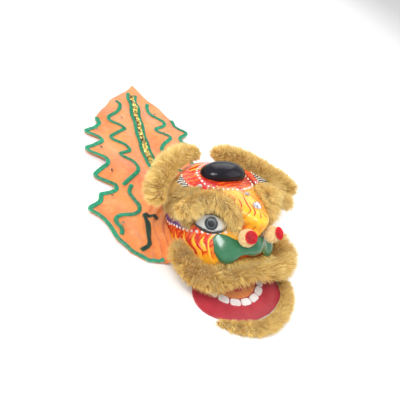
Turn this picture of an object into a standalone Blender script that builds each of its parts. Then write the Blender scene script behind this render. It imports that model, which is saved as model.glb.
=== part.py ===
"""Lion dance head of a child's size, lying on a table with its jaw open and its cape spread out behind.

Units are metres. The lion faces -Y, +Z is up, and the table is at z = 0. The origin is in the middle of the
shell's bottom edge at the nape, where the cape's spine begins. Pieces of the head are placed from the empty
head_middle, and those of the jaw from the empty jaw_axis.
"""
import math
from collections import namedtuple

import bmesh
import bpy
from mathutils import Vector
from mathutils.bvhtree import BVHTree

# Shell
HEAD_HEIGHT = 0.188
HEAD_WIDTH = 0.228
NAPE_REACH = 0.207
MUZZLE_REACH = 0.084
SHELL_WALL = 0.003
SHELL_COLUMNS = 44
SHELL_ROWS = 14
RIM_BAND = 0.002
LIP_HEIGHT = 0.072
MOUTH_HALF_ANGLE = math.radians(72)
CLEARANCE = 0.0003
SEAT_GAP = 0.0009
FUR_GAP = 0.0006

# Horn, ears and fur
HORN_LENGTH = 0.126
HORN_DEPTH = 0.070
HORN_RISE = 0.031
HORN_MIDDLE = 0.48
EAR_SPAN = 0.182
EAR_BOARD_THICKNESS = 0.0025
EAR_BOARD_HEIGHT = 0.785
EAR_FUR_RADIUS = 0.026
BROW_FUR_RADIUS = 0.021
LIP_FUR_RADIUS = 0.024
BEARD_FUR_RADIUS = 0.0135
LOCK_LENGTH = 0.008

# Face: places are shares of HEAD_WIDTH / 2, MUZZLE_REACH and HEAD_HEIGHT
Place = namedtuple("Place", "x y z")
EYE_LENGTH = 0.078
EYE_HEIGHT = 0.035
EYE_RISE = 0.009
EYE_PLACE = Place(0.754, -0.12, 0.675)
EYE_FACING = Place(0.55, -0.66, 0.47)
EYE_ACROSS = Place(0.82, -0.52, 0.23)
NOSE_HALF_WIDTH = 0.088
NOSE_HEIGHT = 0.052
NOSE_DEPTH = 0.022
NOSE_GAP = 0.0016
POMPOM_RADIUS = 0.0205
POMPOM_PLACE = Place(0.307, -0.92, 0.77)
POMPOM_TIP_RADIUS = 0.014
POMPOM_TIP_RISE = 0.003
POMPOM_TIP_FACING = Place(-0.25, -0.52, 0.80)
NOSE_STONE_RADIUS = 0.0105
NOSE_STONE_PLACE = -0.32
SMALL_STONE_RADIUS = 0.0055
FOREHEAD_STONE_PLACE = 0.14
BROW_STONE_PLACE = Place(0.754, 0.81, 1.0)
STONE_RISE_SHARE = 0.6

# Jaw
JAW_REACH = 0.198
JAW_WIDTH = 0.244
JAW_BOARD_THICKNESS = 0.004
HINGE_REACH = 0.010
HINGE_ROD_RADIUS = 0.003
HINGE_PLAY = 0.0004
HOOK_WALL = 0.003
HOOK_WIDTH = 0.016
HOOK_PLACE = 0.45
HOOK_OVERLAP = 0.008
TOOTH_COUNT = 9
TOOTH_GAP = 0.002
TOOTH_LENGTH = 0.018
TOOTH_THICKNESS = 0.003
TEETH_HALF_WIDTH = 0.091
TEETH_REACH = 0.090
TEETH_MIDDLE = -0.354
TONGUE_WIDTH = 0.044
TONGUE_LENGTH = 0.060
TONGUE_RISE = 0.007
TONGUE_MIDDLE = -0.475
PALATE_THICKNESS = 0.0015
PALATE_REAR = -0.20

# Cape
CAPE_LENGTH = 0.649
CAPE_HALF_WIDTH = 0.241
CAPE_SWAY = 0.062
CAPE_TIP_SHARE = 0.008
CAPE_COLUMNS = 5
CAPE_ROW_STEP = 0.012
CLOTH_THICKNESS = 0.0015
CLOTH_WAVE = 0.004
COLLAR_HEIGHT = 0.018
COLLAR_REACH = 0.045
COLLAR_GAP = 0.0011
COLLAR_GATHERS = 7
COLLAR_FRONT_ANGLE = math.radians(78)
FAN_START = 0.46
CORNER_ALONG = 0.235
CORNER_SPREAD = 0.035
CORNER_REACH = 0.050
CORNER_RISE = 0.010
BRAID_WIDTH = 0.0074
BRAID_THICKNESS = 0.0016
BRAID_STEP = 0.012
EDGE_INSET = 0.58
SPINE_STRIP_WIDTH = 0.014
SPINE_START = 0.33
SPINE_END = 0.930
EDGE_START = 0.742
EDGE_END = -0.022

Section = namedtuple("Section", "height half_width widest front back front_power")
# height: share of HEAD_HEIGHT; half_width: of HEAD_WIDTH / 2; widest and back: of NAPE_REACH;
# front: of MUZZLE_REACH; front_power: how boxy the front is
HEAD_SECTIONS = (
    Section(0.00, 0.93, 0.05, 0.83, 1.00, 3.0),
    Section(0.19, 0.98, 0.03, 0.95, 0.99, 3.2),
    Section(0.35, 1.00, 0.05, 1.00, 0.97, 3.0),
    Section(0.50, 0.97, 0.12, 0.98, 0.94, 2.3),
    Section(0.64, 0.94, 0.24, 0.92, 0.88, 1.75),
    Section(0.75, 0.92, 0.36, 0.88, 0.79, 1.45),
    Section(0.81, 0.80, 0.42, 0.87, 0.70, 1.30),
    Section(0.86, 0.58, 0.28, 0.86, 0.50, 1.40),
    Section(0.91, 0.40, 0.06, 0.84, 0.28, 1.70),
    Section(0.96, 0.27, -0.08, 0.79, 0.14, 2.00),
    Section(0.99, 0.13, -0.12, 0.55, 0.02, 2.00),
)
Bulge = namedtuple("Bulge", "x y z radius rise")
# x: share of HEAD_WIDTH / 2; y: of MUZZLE_REACH; z: of HEAD_HEIGHT; radius and rise: of HEAD_WIDTH / 2
HEAD_BULGES = (
    Bulge(0.00, -0.80, 0.93, 0.24, 0.060),
    Bulge(0.62, -0.80, 0.45, 0.34, 0.070),
    Bulge(0.72, 0.20, 0.76, 0.30, 0.050),
)

Relief = namedtuple("Relief", "across middle half_height depth")
# across: share of NOSE_HALF_WIDTH; middle: of HEAD_HEIGHT
# half_height: share of NOSE_HEIGHT / 2; depth: of NOSE_DEPTH
NOSE_RELIEF = (
    Relief(0.00, 0.64, 0.96, 1.00),
    Relief(0.16, 0.635, 0.84, 0.92),
    Relief(0.30, 0.61, 0.56, 0.66),
    Relief(0.42, 0.575, 0.60, 0.58),
    Relief(0.56, 0.545, 0.90, 0.72),
    Relief(0.72, 0.53, 1.00, 0.74),
    Relief(0.88, 0.53, 0.80, 0.58),
    Relief(0.98, 0.53, 0.36, 0.26),
)
BoardEdge = namedtuple("BoardEdge", "x front rear")
# shares of EAR_SPAN
EAR_BOARD = (
    BoardEdge(0.42, 0.26, 0.72),
    BoardEdge(0.55, 0.26, 0.64),
    BoardEdge(0.68, 0.26, 0.53),
    BoardEdge(0.82, 0.26, 0.40),
    BoardEdge(0.90, 0.26, 0.32),
)

PathPoint = namedtuple("PathPoint", "x y z width")
# x, y: shares of EAR_SPAN; z: of HEAD_HEIGHT; width: of the roll's full radius
EAR_FUR_PATH = (
    PathPoint(0.11, 0.96, 0.82, 0.70),
    PathPoint(0.34, 0.97, 0.83, 1.00),
    PathPoint(0.62, 0.83, 0.83, 1.08),
    PathPoint(0.89, 0.58, 0.81, 1.10),
    PathPoint(1.07, 0.33, 0.80, 1.00),
    PathPoint(1.10, 0.22, 0.79, 0.75),
)
BROW_FUR_PATH = (
    PathPoint(0.92, 0.05, 0.79, 0.80),
    PathPoint(0.76, 0.10, 0.82, 1.00),
    PathPoint(0.60, 0.16, 0.85, 1.00),
    PathPoint(0.44, 0.08, 0.92, 0.95),
    PathPoint(0.36, -0.05, 0.92, 0.86),
    PathPoint(0.29, -0.19, 0.87, 0.66),
    PathPoint(0.28, -0.26, 0.80, 0.42),
)
# x, y: shares of HEAD_WIDTH / 2; z: of LIP_HEIGHT
LIP_FUR_PATH = (
    PathPoint(1.12, 0.02, 0.62, 0.70),
    PathPoint(1.24, -0.32, 0.72, 1.05),
    PathPoint(1.20, -0.70, 0.76, 1.15),
    PathPoint(0.92, -0.95, 0.78, 1.10),
    PathPoint(0.48, -1.00, 0.80, 1.00),
    PathPoint(0.00, -0.99, 0.82, 0.95),
)
# x: share of JAW_WIDTH / 2; y: of JAW_REACH; z: of the roll's radius
BEARD_FUR_PATH = (
    PathPoint(-0.80, -0.87, 0.50, 0.60),
    PathPoint(-0.54, -0.99, 0.85, 1.00),
    PathPoint(-0.05, -1.10, 1.10, 1.35),
    PathPoint(0.45, -1.04, 1.10, 1.35),
    PathPoint(0.88, -0.85, 1.00, 1.20),
    PathPoint(1.11, -0.64, 0.75, 0.95),
    PathPoint(1.14, -0.50, 0.45, 0.50),
)

JawPoint = namedtuple("JawPoint", "x y")
# the right half of the jaw board's outline, from the hinge to the chin: shares of JAW_WIDTH / 2 and JAW_REACH
JAW_OUTLINE = (
    JawPoint(0.66, -0.11),
    JawPoint(0.70, -0.30),
    JawPoint(0.90, -0.42),
    JawPoint(1.00, -0.54),
    JawPoint(1.00, -0.68),
    JawPoint(0.88, -0.80),
    JawPoint(0.66, -0.89),
    JawPoint(0.40, -0.96),
    JawPoint(0.00, -1.00),
)

EdgePoint = namedtuple("EdgePoint", "along across")
# along: share of CAPE_LENGTH from the head's middle; across: share of CAPE_HALF_WIDTH from the spine
CAPE_EDGE = (
    EdgePoint(1.000, 0.00),
    EdgePoint(0.872, 0.31),
    EdgePoint(0.738, 0.54),
    EdgePoint(0.705, 0.53),
    EdgePoint(0.655, 0.70),
    EdgePoint(0.598, 0.53),
    EdgePoint(0.545, 0.75),
    EdgePoint(0.462, 0.56),
    EdgePoint(0.400, 0.79),
    EdgePoint(0.328, 0.66),
    EdgePoint(0.308, 0.88),
    EdgePoint(0.220, 0.93),
    EdgePoint(0.180, 1.00),
    EdgePoint(0.105, 0.99),
    EdgePoint(0.050, 0.92),
    EdgePoint(0.000, 0.80),
    EdgePoint(-0.034, 0.56),
)
BRAID_INNER = (
    EdgePoint(0.866, 0.235),
    EdgePoint(0.845, 0.20),
    EdgePoint(0.790, 0.23),
    EdgePoint(0.735, 0.38),
    EdgePoint(0.702, 0.36),
    EdgePoint(0.660, 0.21),
    EdgePoint(0.617, 0.40),
    EdgePoint(0.567, 0.25),
    EdgePoint(0.532, 0.22),
    EdgePoint(0.510, 0.36),
    EdgePoint(0.464, 0.24),
    EdgePoint(0.415, 0.25),
    EdgePoint(0.370, 0.44),
    EdgePoint(0.340, 0.57),
)
BRAID_SIDE = (
    EdgePoint(0.337, 0.48),
    EdgePoint(0.300, 0.56),
    EdgePoint(0.240, 0.58),
    EdgePoint(0.205, 0.63),
    EdgePoint(0.198, 0.84),
    EdgePoint(0.175, 0.90),
    EdgePoint(0.140, 0.88),
    EdgePoint(0.115, 0.91),
)
BRAID_SEAM = (
    EdgePoint(0.160, 0.47),
    EdgePoint(0.176, 0.53),
    EdgePoint(0.190, 0.58),
    EdgePoint(0.150, 0.59),
    EdgePoint(0.090, 0.65),
    EdgePoint(0.057, 0.69),
    EdgePoint(0.042, 0.79),
)
SwayPoint = namedtuple("SwayPoint", "along offset")
# along: share of CAPE_LENGTH; offset: share of CAPE_SWAY
CAPE_SPINE = (
    SwayPoint(1.00, 1.00),
    SwayPoint(0.86, 0.39),
    SwayPoint(0.73, 0.00),
    SwayPoint(0.61, -0.29),
    SwayPoint(0.52, -0.46),
    SwayPoint(0.45, -0.52),
    SwayPoint(0.32, -0.24),
    SwayPoint(0.24, 0.00),
    SwayPoint(-0.10, 0.00),
)


def clear_scene():
    """Remove whatever the scene holds."""
    for item in list(bpy.data.objects):
        bpy.data.objects.remove(item, do_unlink=True)


def new_collection(name):
    """Add a collection to the scene."""
    collection = bpy.data.collections.new(name)
    bpy.context.scene.collection.children.link(collection)
    return collection


def new_material(name, colour, roughness, coat=0.0):
    """Make a Principled BSDF material."""
    material = bpy.data.materials.new(name)
    material.use_nodes = True
    shader = material.node_tree.nodes["Principled BSDF"]
    shader.inputs["Base Color"].default_value = (*colour, 1.0)
    shader.inputs["Roughness"].default_value = roughness
    shader.inputs["Coat Weight"].default_value = coat
    material.diffuse_color = (*colour, 1.0)
    return material


def new_empty(name, location, parent, collection):
    """Add an empty that carries other objects."""
    item = bpy.data.objects.new(name, None)
    item.location = location
    item.parent = parent
    item.empty_display_size = 0.05
    collection.objects.link(item)
    return item


def new_object(name, shape, material, parent, collection):
    """Make a named object from a bmesh drawn in the head's frame, with its faces pointing out."""
    bmesh.ops.recalc_face_normals(shape, faces=shape.faces)
    if parent.parent is not None:
        bmesh.ops.translate(shape, vec=-parent.location, verts=shape.verts)
    mesh = bpy.data.meshes.new(name)
    shape.to_mesh(mesh)
    shape.free()
    mesh.shade_smooth()
    mesh.set_sharp_from_angle(angle=math.radians(40))
    mesh.materials.append(material)
    item = bpy.data.objects.new(name, mesh)
    item.parent = parent
    collection.objects.link(item)
    return item


def mix(low, high, share):
    """Blend two numbers or vectors."""
    return low * (1.0 - share) + high * share


def smooth_step(share):
    """Ease from 0 to 1 with level ends."""
    share = min(max(share, 0.0), 1.0)
    return share * share * (3.0 - 2.0 * share)


def read_row(rows, value, ease=False):
    """Read a table at a value of its first column, blending the two rows around it."""
    keys = [row[0] for row in rows]
    if keys[0] > keys[-1]:
        rows = rows[::-1]
        keys = keys[::-1]
    for low, high in zip(rows, rows[1:]):
        if low[0] <= value <= high[0]:
            share = (value - low[0]) / (high[0] - low[0])
            share = smooth_step(share) if ease else share
            return [mix(a, b, share) for a, b in zip(low, high)]
    return list(rows[0] if value < keys[0] else rows[-1])


def curve_through(points, steps):
    """Return points along a Catmull-Rom curve through the given vectors, with so many steps a stretch."""
    ends = [points[0] * 2 - points[1], *points, points[-1] * 2 - points[-2]]
    found = []
    for a, b, c, d in zip(ends, ends[1:], ends[2:], ends[3:]):
        for step in range(steps):
            t = step / steps
            pull = (a * 2 - b * 5 + c * 4 - d) * t**2 + (b * 3 - a - c * 3 + d) * t**3
            found.append((b * 2 + (c - a) * t + pull) * 0.5)
    found.append(points[-1].copy())
    return found


def bridge(shape, low, high):
    """Join two closed loops of vertices with faces."""
    count = len(low)
    for i in range(count):
        j = (i + 1) % count
        shape.faces.new((low[i], low[j], high[j], high[i]))


def close_loft(shape, rings):
    """Join closed loops of vertices, each of the same count, and cap the ends."""
    for low, high in zip(rings, rings[1:]):
        bridge(shape, low, high)
    shape.faces.new(rings[0])
    shape.faces.new(rings[-1])


def fill_grid(shape, grid):
    """Fill an open grid of vertices with faces."""
    for low, high in zip(grid, grid[1:]):
        for a, b, c, d in zip(low, low[1:], high[1:], high):
            shape.faces.new((a, b, c, d))


def power_arc(share, power):
    """Return a sine or cosine bent to a superellipse of the given power."""
    return math.copysign(abs(share) ** (2.0 / power), share)


def read_section(height_share):
    """Return the shell's half width, widest place, front and back reach, and front power at a height."""
    _, half_width, widest, front, back, power = read_row(HEAD_SECTIONS, height_share)
    widest *= NAPE_REACH
    front = front * MUZZLE_REACH + widest
    back = back * NAPE_REACH - widest
    return half_width * HEAD_WIDTH / 2, widest, front, back, power


def shell_point(angle, height_share):
    """Return a point on the shell: angle 0 looks forward (-Y), and pi / 2 to the lion's left (+X)."""
    half_width, widest, front, back, power = read_section(height_share)
    ahead = math.cos(angle) >= 0.0
    power = power if ahead else 2.0
    reach = front if ahead else back
    x = half_width * power_arc(math.sin(angle), power)
    y = widest - reach * power_arc(math.cos(angle), power)
    return Vector((x, y, height_share * HEAD_HEIGHT))


def add_bulges(point):
    """Push a point of the shell outwards where the face bulges, on both sides alike."""
    middle = Vector((0.0, HEAD_SECTIONS[4].widest * NAPE_REACH, point.z * 0.6))
    outward = (point - middle).normalized()
    rise = 0.0
    for bulge in HEAD_BULGES:
        sides = (-1, 1) if bulge.x else (1,)
        for side in sides:
            place = Vector((side * bulge.x * HEAD_WIDTH / 2, bulge.y * MUZZLE_REACH, bulge.z * HEAD_HEIGHT))
            near = (point - place).length / (bulge.radius * HEAD_WIDTH / 2)
            rise += bulge.rise * HEAD_WIDTH / 2 * math.exp(-near * near)
    return point + outward * rise


def lip_height(angle):
    """Return how high the shell's bottom edge is at an angle: an arch over the mouth, and 0 elsewhere."""
    corner = math.cos(MOUTH_HALF_ANGLE)
    return LIP_HEIGHT * smooth_step((math.cos(angle) - corner) / (1.0 - corner))


def make_shell(material, parent, collection):
    """Model the hollow shell as an open loft with a wall; its rim's band is upright and flat."""
    shape = bmesh.new()
    angles = [2.0 * math.pi * column / SHELL_COLUMNS for column in range(SHELL_COLUMNS)]
    bottoms = [lip_height(angle) / HEAD_HEIGHT for angle in angles]
    rings = []
    for row in range(SHELL_ROWS):
        level = 1.0 - (1.0 - row / (SHELL_ROWS - 1)) ** 1.25
        points = []
        for angle, bottom in zip(angles, bottoms):
            points.append(add_bulges(shell_point(angle, mix(bottom, HEAD_SECTIONS[-1].height, level))))
        if row == 0:
            for point, bottom in zip(points, bottoms):
                point.z = bottom * HEAD_HEIGHT
            rings.append([shape.verts.new(point) for point in points])
            points = [point + Vector((0.0, 0.0, RIM_BAND)) for point in points]
        rings.append([shape.verts.new(point) for point in points])
    for low, high in zip(rings, rings[1:]):
        bridge(shape, low, high)
    top_y = sum(vertex.co.y for vertex in rings[-1]) / SHELL_COLUMNS
    crown = shape.verts.new((0.0, top_y, HEAD_HEIGHT))
    for a, b in zip(rings[-1], rings[-1][1:] + rings[-1][:1]):
        shape.faces.new((a, b, crown))
    shell = new_object("head_shell", shape, material, parent, collection)
    wall = shell.modifiers.new("wall", "SOLIDIFY")
    wall.thickness = SHELL_WALL
    wall.offset = -1.0
    return shell


def surface_of(item):
    """Return a search tree of an object's evaluated surface, in the head's frame."""
    graph = bpy.context.evaluated_depsgraph_get()
    graph.update()
    shape = bmesh.new()
    shape.from_object(item, graph)
    if item.parent.parent is not None:
        bmesh.ops.translate(shape, vec=item.parent.location, verts=shape.verts)
    tree = BVHTree.FromBMesh(shape)
    shape.free()
    return tree


def cap_on_surface(
    name, surface, centre, outward, across, outline, profile, sectors, material, parent, collection
):
    """Model a closed cap whose back follows a surface, or is flat at its centre where there is none.

    outline gives the radius at an angle from the across direction, and profile lists
    (share of radius, height) from the middle to the edge.
    """
    outward = outward.normalized()
    across = (across - outward * across.dot(outward)).normalized()
    upward = outward.cross(across)
    middle = surface.ray_cast(centre + outward * HEAD_HEIGHT, -outward)[0] if surface else centre
    shape = bmesh.new()
    tops = []
    backs = []
    for share, height in profile[1:]:
        top = []
        back = []
        for sector in range(sectors):
            angle = 2.0 * math.pi * sector / sectors
            spoke = (across * math.cos(angle) + upward * math.sin(angle)) * outline(angle) * share
            foot = middle + spoke
            if surface:
                foot = surface.ray_cast(centre + spoke + outward * HEAD_HEIGHT, -outward)[0]
            if foot is None or (foot - middle).length > 3.0 * outline(0.0):
                foot = middle + spoke
            top.append(shape.verts.new(foot + outward * (SEAT_GAP + height)))
            back.append(shape.verts.new(foot + outward * SEAT_GAP))
        tops.append(top)
        backs.append(back)
    for rings, lift in ((tops, profile[0][1]), (backs, 0.0)):
        hub = shape.verts.new(middle + outward * (SEAT_GAP + lift))
        for a, b in zip(rings[0], rings[0][1:] + rings[0][:1]):
            shape.faces.new((hub, a, b))
        for low, high in zip(rings, rings[1:]):
            bridge(shape, low, high)
    bridge(shape, tops[-1], backs[-1])
    return new_object(name, shape, material, parent, collection)


def dome(rise, edge, rings=5):
    """Return a dome's profile, as (share of radius, height) from the middle to an edge of its own height."""
    profile = []
    for ring in range(rings + 1):
        turn = 0.5 * math.pi * ring / rings
        profile.append((math.sin(turn), edge + (rise - edge) * math.cos(turn)))
    return profile


def cut_stone(radius):
    """Return a cut stone's profile: a flat table, a sloping crown and an edge."""
    rise = radius * STONE_RISE_SHARE
    return [(0.0, rise), (0.55, rise), (0.95, rise * 0.45), (1.0, rise * 0.3)]


def oval(half_length, half_height, power=2.0):
    """Return an outline's radius at an angle, for an oval with more or less pointed ends."""
    def radius(angle):
        along = abs(math.cos(angle) / half_length)
        over = abs(math.sin(angle) / half_height)
        return (along**power + over**power) ** (-1.0 / power)
    return radius


def read_path(table, x_unit, y_unit, z_unit, radius, side, steps):
    """Turn a table of path points into a smooth path and the roll's radii along it."""
    places = [Vector((side * row.x * x_unit, row.y * y_unit, row.z * z_unit)) for row in table]
    widths = [Vector((row.width * radius, 0.0, 0.0)) for row in table]
    return curve_through(places, steps), [width.x for width in curve_through(widths, steps)]


def seat_path(path, radii, surfaces):
    """Move a roll's path outwards where the roll would cut into a surface."""
    seated = []
    for centre, radius in zip(path, radii):
        reach = radius + LOCK_LENGTH * 0.3 + SEAT_GAP
        for surface in surfaces * 3:
            near, _, _, distance = surface.find_nearest(centre)
            if distance < reach:
                centre = near + (centre - near).normalized() * reach
        seated.append(centre)
    return seated


def settle(points, surfaces):
    """Return the move that brings points to just clear of the first surface, and no nearer to the others."""
    way = None
    room = math.inf
    for surface in surfaces:
        for point in points:
            near, _, _, distance = surface.find_nearest(point)
            if surface is surfaces[0] and (way is None or distance < way.length):
                way = near - point
            room = min(room, distance)
    return way.normalized() * max(0.0, room - FUR_GAP)


def fur_roll(name, path, radii, lean, flatten, surfaces, material, parent, collection):
    """Model deep fur as a roll round a path whose skin rises into staggered pointed locks.

    lean is the way that the locks are combed, flatten is the roll's height against its width, and the
    roll comes to lie against the first of the surfaces. No lock reaches below the table.
    """
    path = seat_path(path, radii, surfaces)
    sides = 10
    rings = []
    last = len(path) - 1
    for i, centre in enumerate(path):
        along = (path[min(i + 1, last)] - path[max(i - 1, 0)]).normalized()
        side = along.cross(Vector((0.0, 0.0, 1.0))).normalized()
        up = side.cross(along)
        ring = []
        for j in range(sides):
            angle = 2.0 * math.pi * j / sides
            spoke = side * math.cos(angle) + up * math.sin(angle) * flatten
            tip = (i + j) % 2 == 0
            point = centre + spoke * radii[i] * (1.0 if tip else 0.8)
            if tip:
                point += lean * LOCK_LENGTH * radii[i] / max(radii)
            ring.append(point)
        rings.append(ring)
    move = settle([point for ring in rings for point in ring], surfaces)
    shape = bmesh.new()
    for ring in rings:
        for j, point in enumerate(ring):
            point += move
            ring[j] = shape.verts.new((point.x, point.y, max(point.z, CLEARANCE)))
    close_loft(shape, rings)
    return new_object(name, shape, material, parent, collection)


def make_ear_board(side, name, surface, material, parent, collection):
    """Model a thin board that lies on the crown's shoulder and reaches out inside the ear's fur."""
    columns = 8
    rows = 5
    shape = bmesh.new()
    tops = []
    backs = []
    for column in range(columns + 1):
        reach = mix(EAR_BOARD[0].x, EAR_BOARD[-1].x, column / columns)
        _, front, rear = read_row(EAR_BOARD, reach)
        top = []
        back = []
        for row in range(rows + 1):
            x = side * reach * EAR_SPAN
            y = mix(front, rear, row / rows) * EAR_SPAN
            foot = surface.ray_cast(Vector((x, y, 2.0 * HEAD_HEIGHT)), Vector((0.0, 0.0, -1.0)))[0]
            base = EAR_BOARD_HEIGHT * HEAD_HEIGHT
            if foot is not None:
                base = max(base, foot.z + SEAT_GAP)
            back.append(shape.verts.new((x, y, base)))
            top.append(shape.verts.new((x, y, base + EAR_BOARD_THICKNESS)))
        tops.append(top)
        backs.append(back)
    fill_grid(shape, tops)
    fill_grid(shape, backs)
    for i in (0, rows):
        fill_grid(shape, [[row[i] for row in tops], [row[i] for row in backs]])
    for i in (0, columns):
        fill_grid(shape, [tops[i], backs[i]])
    return new_object(name, shape, material, parent, collection)


def make_nose(surface, material, parent, collection):
    """Model the green nose: a bulb between two nostrils, whose back follows the muzzle."""
    stations = 21
    sides = 12
    shape = bmesh.new()
    rings = []
    for station in range(stations):
        across = 2.0 * station / (stations - 1) - 1.0
        across = math.copysign(math.sin(abs(across) * math.pi / 2) * NOSE_RELIEF[-1].across, across)
        _, middle, half_height, depth = read_row(NOSE_RELIEF, abs(across), ease=True)
        ring = []
        for j in range(sides):
            angle = 2.0 * math.pi * j / sides
            x = across * NOSE_HALF_WIDTH
            z = middle * HEAD_HEIGHT + half_height * NOSE_HEIGHT / 2 * math.cos(angle)
            foot, normal, _, _ = surface.ray_cast(Vector((x, -2.0 * HEAD_WIDTH, z)), Vector((0.0, 1.0, 0.0)))
            point = foot + normal * NOSE_GAP
            point.y -= max(math.sin(angle), 0.0) * depth * NOSE_DEPTH
            ring.append(shape.verts.new(point))
        rings.append(ring)
    close_loft(shape, rings)
    return new_object("nose", shape, material, parent, collection)


def make_ball(name, centre, radius, material, parent, collection):
    """Add a ball at its place."""
    shape = bmesh.new()
    bmesh.ops.create_uvsphere(shape, u_segments=18, v_segments=11, radius=radius)
    bmesh.ops.translate(shape, vec=centre, verts=shape.verts)
    return new_object(name, shape, material, parent, collection)


def head_place(place, side):
    """Return the vector to a place on the head from its shares, on the right (-1) or the left (1)."""
    return Vector((side * place.x * HEAD_WIDTH / 2, place.y * MUZZLE_REACH, place.z * HEAD_HEIGHT))


def seat_ball(centre, radius, surfaces):
    """Move a ball to just clear of the first surface, and off the others."""
    reach = radius + 2.0 * CLEARANCE
    for surface in surfaces * 4:
        near, _, _, distance = surface.find_nearest(centre)
        if surface is surfaces[0] or distance < reach:
            centre = near + (centre - near).normalized() * reach
    return centre


def split_caps(shape):
    """Cut the many-sided end faces of a loft into triangles."""
    shape.normal_update()
    bmesh.ops.triangulate(shape, faces=[face for face in shape.faces if len(face.verts) > 4])


def plate(name, outline, low, high, material, parent, collection):
    """Model a flat plate from its outline, between two heights."""
    shape = bmesh.new()
    rings = []
    for height in (low, high):
        rings.append([shape.verts.new((point.x, point.y, height)) for point in outline])
    close_loft(shape, rings)
    split_caps(shape)
    return new_object(name, shape, material, parent, collection)


def jaw_outline():
    """Return the jaw board's outline, from its right rear corner round the chin to the left."""
    right = [Vector((row.x * JAW_WIDTH / 2, row.y * JAW_REACH, 0.0)) for row in JAW_OUTLINE]
    right = [right[0]] + curve_through(right[1:], 2)
    left = [Vector((-point.x, point.y, 0.0)) for point in reversed(right[:-1])]
    return right + left


def hinge_axis():
    """Return the jaw's hinge axis in the head's frame: its hooks just clear the table."""
    return Vector((0.0, -HINGE_REACH, HINGE_ROD_RADIUS + HINGE_PLAY + HOOK_WALL + 2.0 * CLEARANCE))


def hook_section():
    """Return a hook's section as (y, z): a strip that runs back under the board and curls round the rod."""
    axis = hinge_axis()
    inner = HINGE_ROD_RADIUS + HINGE_PLAY
    outer = inner + HOOK_WALL
    steps = 12
    outside = []
    inside = []
    for step in range(steps + 1):
        angle = mix(math.radians(-90), math.radians(170), step / steps)
        outside.append((axis.y + math.cos(angle) * outer, axis.z + math.sin(angle) * outer))
        inside.append((axis.y + math.cos(angle) * inner, axis.z + math.sin(angle) * inner))
    front = JAW_OUTLINE[0].y * JAW_REACH - HOOK_OVERLAP
    return outside + inside[::-1] + [(front, axis.z - inner), (front, axis.z - outer)]


def make_jaw_board(material, parent, collection, cutters):
    """Model the red jaw board, with two curled hooks at its rear that take the hinge rod."""
    top = CLEARANCE + JAW_BOARD_THICKNESS
    board = plate("jaw_board", jaw_outline(), CLEARANCE, top, material, parent, collection)
    for side, word in ((-1, "right"), (1, "left")):
        middle = side * HOOK_PLACE * JAW_WIDTH / 2
        shape = bmesh.new()
        ends = []
        for x in (middle - HOOK_WIDTH / 2, middle + HOOK_WIDTH / 2):
            ends.append([shape.verts.new((x, y, z)) for y, z in hook_section()])
        close_loft(shape, ends)
        split_caps(shape)
        hook = new_object("hook_form_" + word, shape, material, parent, cutters)
        hook.display_type = "WIRE"
        hook.hide_render = True
        joined = board.modifiers.new("hook_" + word, "BOOLEAN")
        joined.operation = "UNION"
        joined.solver = "EXACT"
        joined.object = hook
    return board


def make_rod(shell, material, parent, collection):
    """Model the plain rod between the shell's walls that the jaw's hooks turn on."""
    sides = 16
    axis = hinge_axis()
    shape = bmesh.new()
    ends = []
    for side in (-1, 1):
        reach = min(
            abs(shell.ray_cast(axis + Vector((0.0, y, z)), Vector((side, 0.0, 0.0)))[0].x)
            for y in (-HINGE_ROD_RADIUS, HINGE_ROD_RADIUS) for z in (-HINGE_ROD_RADIUS, HINGE_ROD_RADIUS)
        )
        ring = []
        for j in range(sides):
            angle = 2.0 * math.pi * j / sides
            spoke = Vector((0.0, math.cos(angle), math.sin(angle))) * HINGE_ROD_RADIUS
            ring.append(shape.verts.new(axis + spoke + Vector((side * (reach - CLEARANCE), 0.0, 0.0))))
        ends.append(ring)
    close_loft(shape, ends)
    return new_object("hinge_rod", shape, material, parent, collection)


def make_tooth(number, bottom, material, parent, collection):
    """Model one flat tooth, cut out with round corners, at its place on the jaw's arc."""
    points = 14
    span = math.pi / (TOOTH_COUNT - 0.1)
    turn = span * (number + 0.45)
    width_share = 0.5 * (1.0 - TOOTH_GAP / (span * (TEETH_REACH - TOOTH_LENGTH)))
    outline = []
    for point in range(points):
        angle = 2.0 * math.pi * point / points
        aside = turn + span * width_share * power_arc(math.cos(angle), 4.0)
        inset = TOOTH_LENGTH * (0.5 + 0.5 * power_arc(math.sin(angle), 3.0))
        x = -(TEETH_HALF_WIDTH - inset) * math.cos(aside)
        y = TEETH_MIDDLE * JAW_REACH - (TEETH_REACH - inset) * math.sin(aside)
        outline.append(Vector((x, y, 0.0)))
    name = "tooth_" + str(number + 1)
    return plate(name, outline, bottom, bottom + TOOTH_THICKNESS, material, parent, collection)


def make_palate(bottom, material, parent, collection):
    """Model the thin orange lining inside the arc of the teeth."""
    steps = 16
    half_width = TEETH_HALF_WIDTH - TOOTH_LENGTH - TOOTH_GAP
    reach = TEETH_REACH - TOOTH_LENGTH - TOOTH_GAP
    outline = []
    for step in range(steps + 1):
        angle = math.pi * step / steps
        y = TEETH_MIDDLE * JAW_REACH - reach * math.sin(angle)
        outline.append(Vector((-half_width * math.cos(angle), y, 0.0)))
    for side in (1, -1):
        outline.append(Vector((side * half_width * 0.9, PALATE_REAR * JAW_REACH, 0.0)))
    return plate("palate", outline, bottom, bottom + PALATE_THICKNESS, material, parent, collection)


def spine_x(along):
    """Return the sideways place of the cape's spine at a share of its length."""
    return CAPE_SWAY * read_row(CAPE_SPINE, along, ease=True)[1]


def cape_place(along, across):
    """Return a place in plan from its shares, across counted from the spine and positive to the left."""
    return Vector((spine_x(along) + across * CAPE_HALF_WIDTH, along * CAPE_LENGTH, 0.0))


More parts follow.
